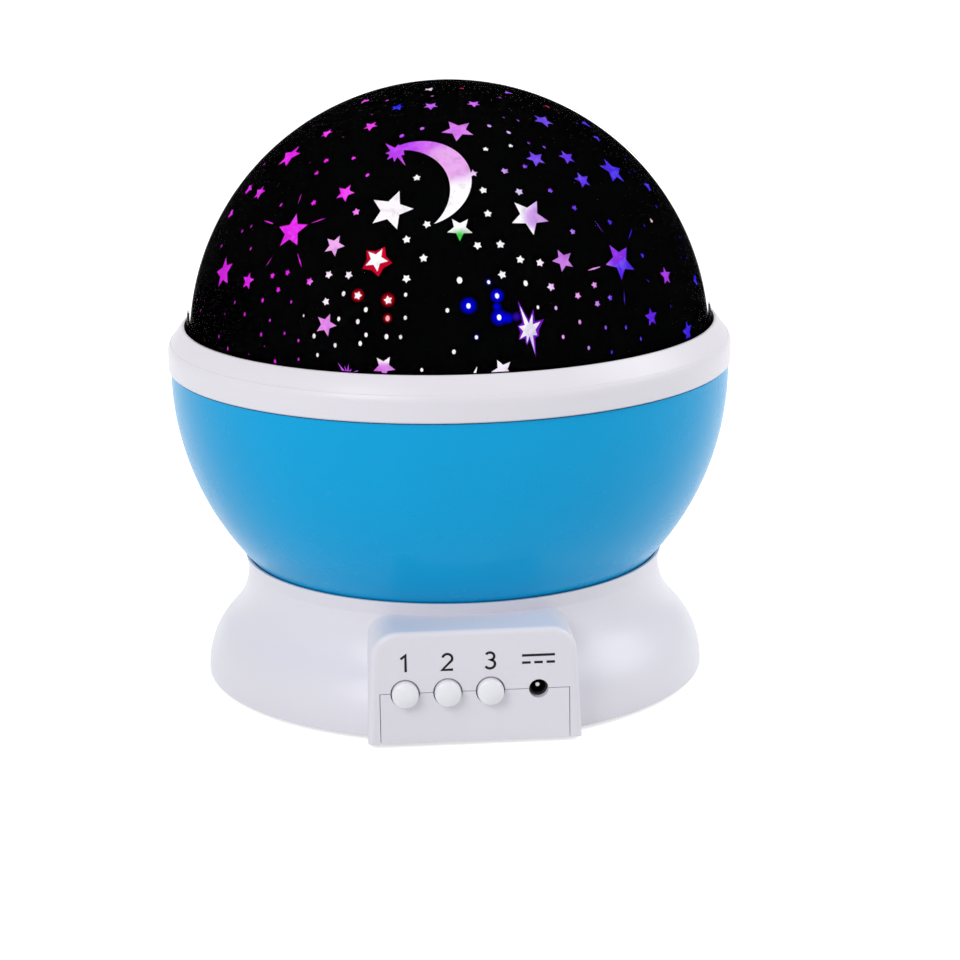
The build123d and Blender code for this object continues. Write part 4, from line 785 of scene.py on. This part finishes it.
ink = plastic("marking_ink", srgb(18, 18, 22), 0.5, mottle=0.05, Specular_IOR_Level=0.2)
PANEL_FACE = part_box("base_shell")[0].y
LABEL_HEIGHT = 3.9 * MM
LABEL_LIFT = 7.1 * MM               # above the buttons' axis
LABEL_STROKE = 0.56 * MM
INK_THICKNESS = 0.04 * MM
MITRE_LEAST = 0.5                   # keeps a sharp corner of a stroke from running out
SYMBOL_HALF, SYMBOL_LIFT = 3.7 * MM, 0.85 * MM      # half the line's length, and how far it lies above the middle
DASH_PITCH, DASH_HALF = 2.75 * MM, 0.95 * MM        # the dashes below it
button_boxes = [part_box(f"button_cap_{i}") for i in (1, 2, 3)]
button_x = [(low.x + high.x) / 2 for low, high in button_boxes]
LABEL_Z = (button_boxes[0][0].z + button_boxes[0][1].z) / 2 + LABEL_LIFT
jack_low, jack_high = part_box("dc_jack")
inlet_x = (jack_low.x + jack_high.x) / 2


def stroke_mesh(name, strokes):
    """Flat marks along centre lines, each a strip with square ends, lying in the XZ plane."""
    vertices, polygons = [], []
    for points in strokes:
        points = [Vector(p) for p in points]
        first = len(vertices)
        for i, point in enumerate(points):
            before = points[max(i - 1, 0)]
            after = points[min(i + 1, len(points) - 1)]
            incoming = (point - before).normalized() if i else (after - point).normalized()
            outgoing = (after - point).normalized() if i < len(points) - 1 else incoming
            along = (incoming + outgoing).normalized()
            reach = LABEL_STROKE / 2 / max(MITRE_LEAST, along.dot(incoming))
            side = Vector((-along.y, along.x)) * reach
            for y in (0.0, -INK_THICKNESS):
                for way in (-1, 1):
                    edge = point + side * way
                    vertices.append((edge.x, y, edge.y))
        for i in range(len(points) - 1):
            a, b = first + 4 * i, first + 4 * (i + 1)
            polygons += [(a + 2, b + 2, b + 3, a + 3), (a, a + 1, b + 1, b), (a, b, b + 2, a + 2),
                         (a + 1, a + 3, b + 3, b + 1)]
        last = first + 4 * (len(points) - 1)
        polygons += [(first, first + 2, first + 3, first + 1), (last, last + 1, last + 3, last + 2)]
    mesh = bpy.data.meshes.new(name)
    mesh.from_pydata(vertices, [], polygons)
    mesh.validate()
    return mesh


def add_mark(name, strokes, x):
    """Inked strokes on the panel's face, above the control at x."""
    mark = bpy.data.objects.new(name, stroke_mesh(name, strokes))
    scene.collection.objects.link(mark)
    mark.location = (x, PANEL_FACE, LABEL_Z)
    dress(mark, ink)
    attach(mark, "base")


def arc_points(x, z, radius_x, radius_z, start, end, steps):
    """Points of an arc round x and z, from a start to an end bearing in degrees."""
    return [(x + radius_x * math.cos(math.radians(start + (end - start) * i / steps)),
             z + radius_z * math.sin(math.radians(start + (end - start) * i / steps))) for i in range(steps + 1)]


# centre lines of the digits, as shares of their height
DIGITS = {
    "1": [[(-0.22, 0.28), (0.06, 0.5), (0.06, -0.5)]],
    "2": [arc_points(0.0, 0.22, 0.28, 0.27, 165, -32, 16) + [(-0.3, -0.46), (0.32, -0.46)]],
    "3": [arc_points(-0.01, 0.25, 0.25, 0.23, 150, -90, 16)[:-1] + arc_points(-0.01, -0.22, 0.29, 0.26, 90, -152, 18)],
}
for x, digit in zip(button_x, "123"):
    strokes = [[(px * LABEL_HEIGHT, pz * LABEL_HEIGHT) for px, pz in stroke] for stroke in DIGITS[digit]]
    add_mark(f"digit_{digit}", strokes, x)
symbol_strokes = [[(-SYMBOL_HALF, SYMBOL_LIFT), (SYMBOL_HALF, SYMBOL_LIFT)]]
for i in (-1, 0, 1):
    symbol_strokes.append([(i * DASH_PITCH - DASH_HALF, -SYMBOL_LIFT), (i * DASH_PITCH + DASH_HALF, -SYMBOL_LIFT)])
add_mark("dc_symbol", symbol_strokes, inlet_x)

# ---- floor, world and lamps -------------------------------------------------------------------


FLOOR_HALF = 6.0                    # metres
FLOOR_EMISSION = 0.6                # what rays that see the floor directly get on top of its shading
WORLD_LEVEL = 0.56                  # light the world casts, where rays that see it directly get 1
LAMP_AIM = (0, 0, 0.06)
# name, place, side in metres, power in watts
LAMPS = (("key_lamp", (-0.75, -0.85, 0.85), 0.7, 7.4), ("fill_lamp", (1.0, 0.0, 0.8), 0.7, 5.2),
         ("back_lamp", (0.1, 1.0, 0.9), 0.8, 1.5))


def seen_directly(tree):
    """1 for camera, glossy and transmission rays, 0 for the rays that light things."""
    path = tree.nodes.new("ShaderNodeLightPath")
    seen = path.outputs["Is Camera Ray"]
    for kind in ("Is Glossy Ray", "Is Transmission Ray"):
        either = tree.nodes.new("ShaderNodeMath")
        either.operation = "MAXIMUM"
        tree.links.new(seen, either.inputs[0])
        tree.links.new(path.outputs[kind], either.inputs[1])
        seen = either.outputs[0]
    return seen


def make_floor():
    size = FLOOR_HALF
    mesh = bpy.data.meshes.new("floor")
    mesh.from_pydata([(-size, -size, 0), (size, -size, 0), (size, size, 0), (-size, size, 0)], [], [(0, 1, 2, 3)])
    floor = bpy.data.objects.new("floor", mesh)
    scene.collection.objects.link(floor)
    nodes = Nodes("pale_floor")
    nodes.drive("Emission Strength", nodes.ranged(seen_directly(nodes.tree), 0.0, FLOOR_EMISSION, 0.0, 1.0))
    nodes.set(Base_Color=(0.8, 0.8, 0.8, 1.0), Roughness=0.9, Specular_IOR_Level=0.0,
              Emission_Color=(1.0, 1.0, 1.0, 1.0))
    dress(floor, nodes.material)


def make_world():
    world = bpy.data.worlds.new("studio")
    scene.world = world
    world.use_nodes = True
    tree = world.node_tree
    background = tree.nodes["Background"]
    seen = seen_directly(tree)
    level = tree.nodes.new("ShaderNodeMapRange")
    level.inputs["To Min"].default_value = WORLD_LEVEL
    level.inputs["To Max"].default_value = 1.0
    tree.links.new(seen, level.inputs["Value"])
    tree.links.new(level.outputs["Result"], background.inputs["Strength"])
    background.inputs["Color"].default_value = (1.0, 1.0, 1.0, 1.0)


def make_lamp(name, place, size, power):
    data = bpy.data.lights.new(name, "AREA")
    data.shape = "SQUARE"
    data.size = size
    data.energy = power
    lamp = bpy.data.objects.new(name, data)
    scene.collection.objects.link(lamp)
    lamp.location = place
    lamp.rotation_euler = (Vector(LAMP_AIM) - Vector(place)).to_track_quat("-Z", "Y").to_euler()


make_world()
make_floor()
for lamp in LAMPS:
    make_lamp(*lamp)
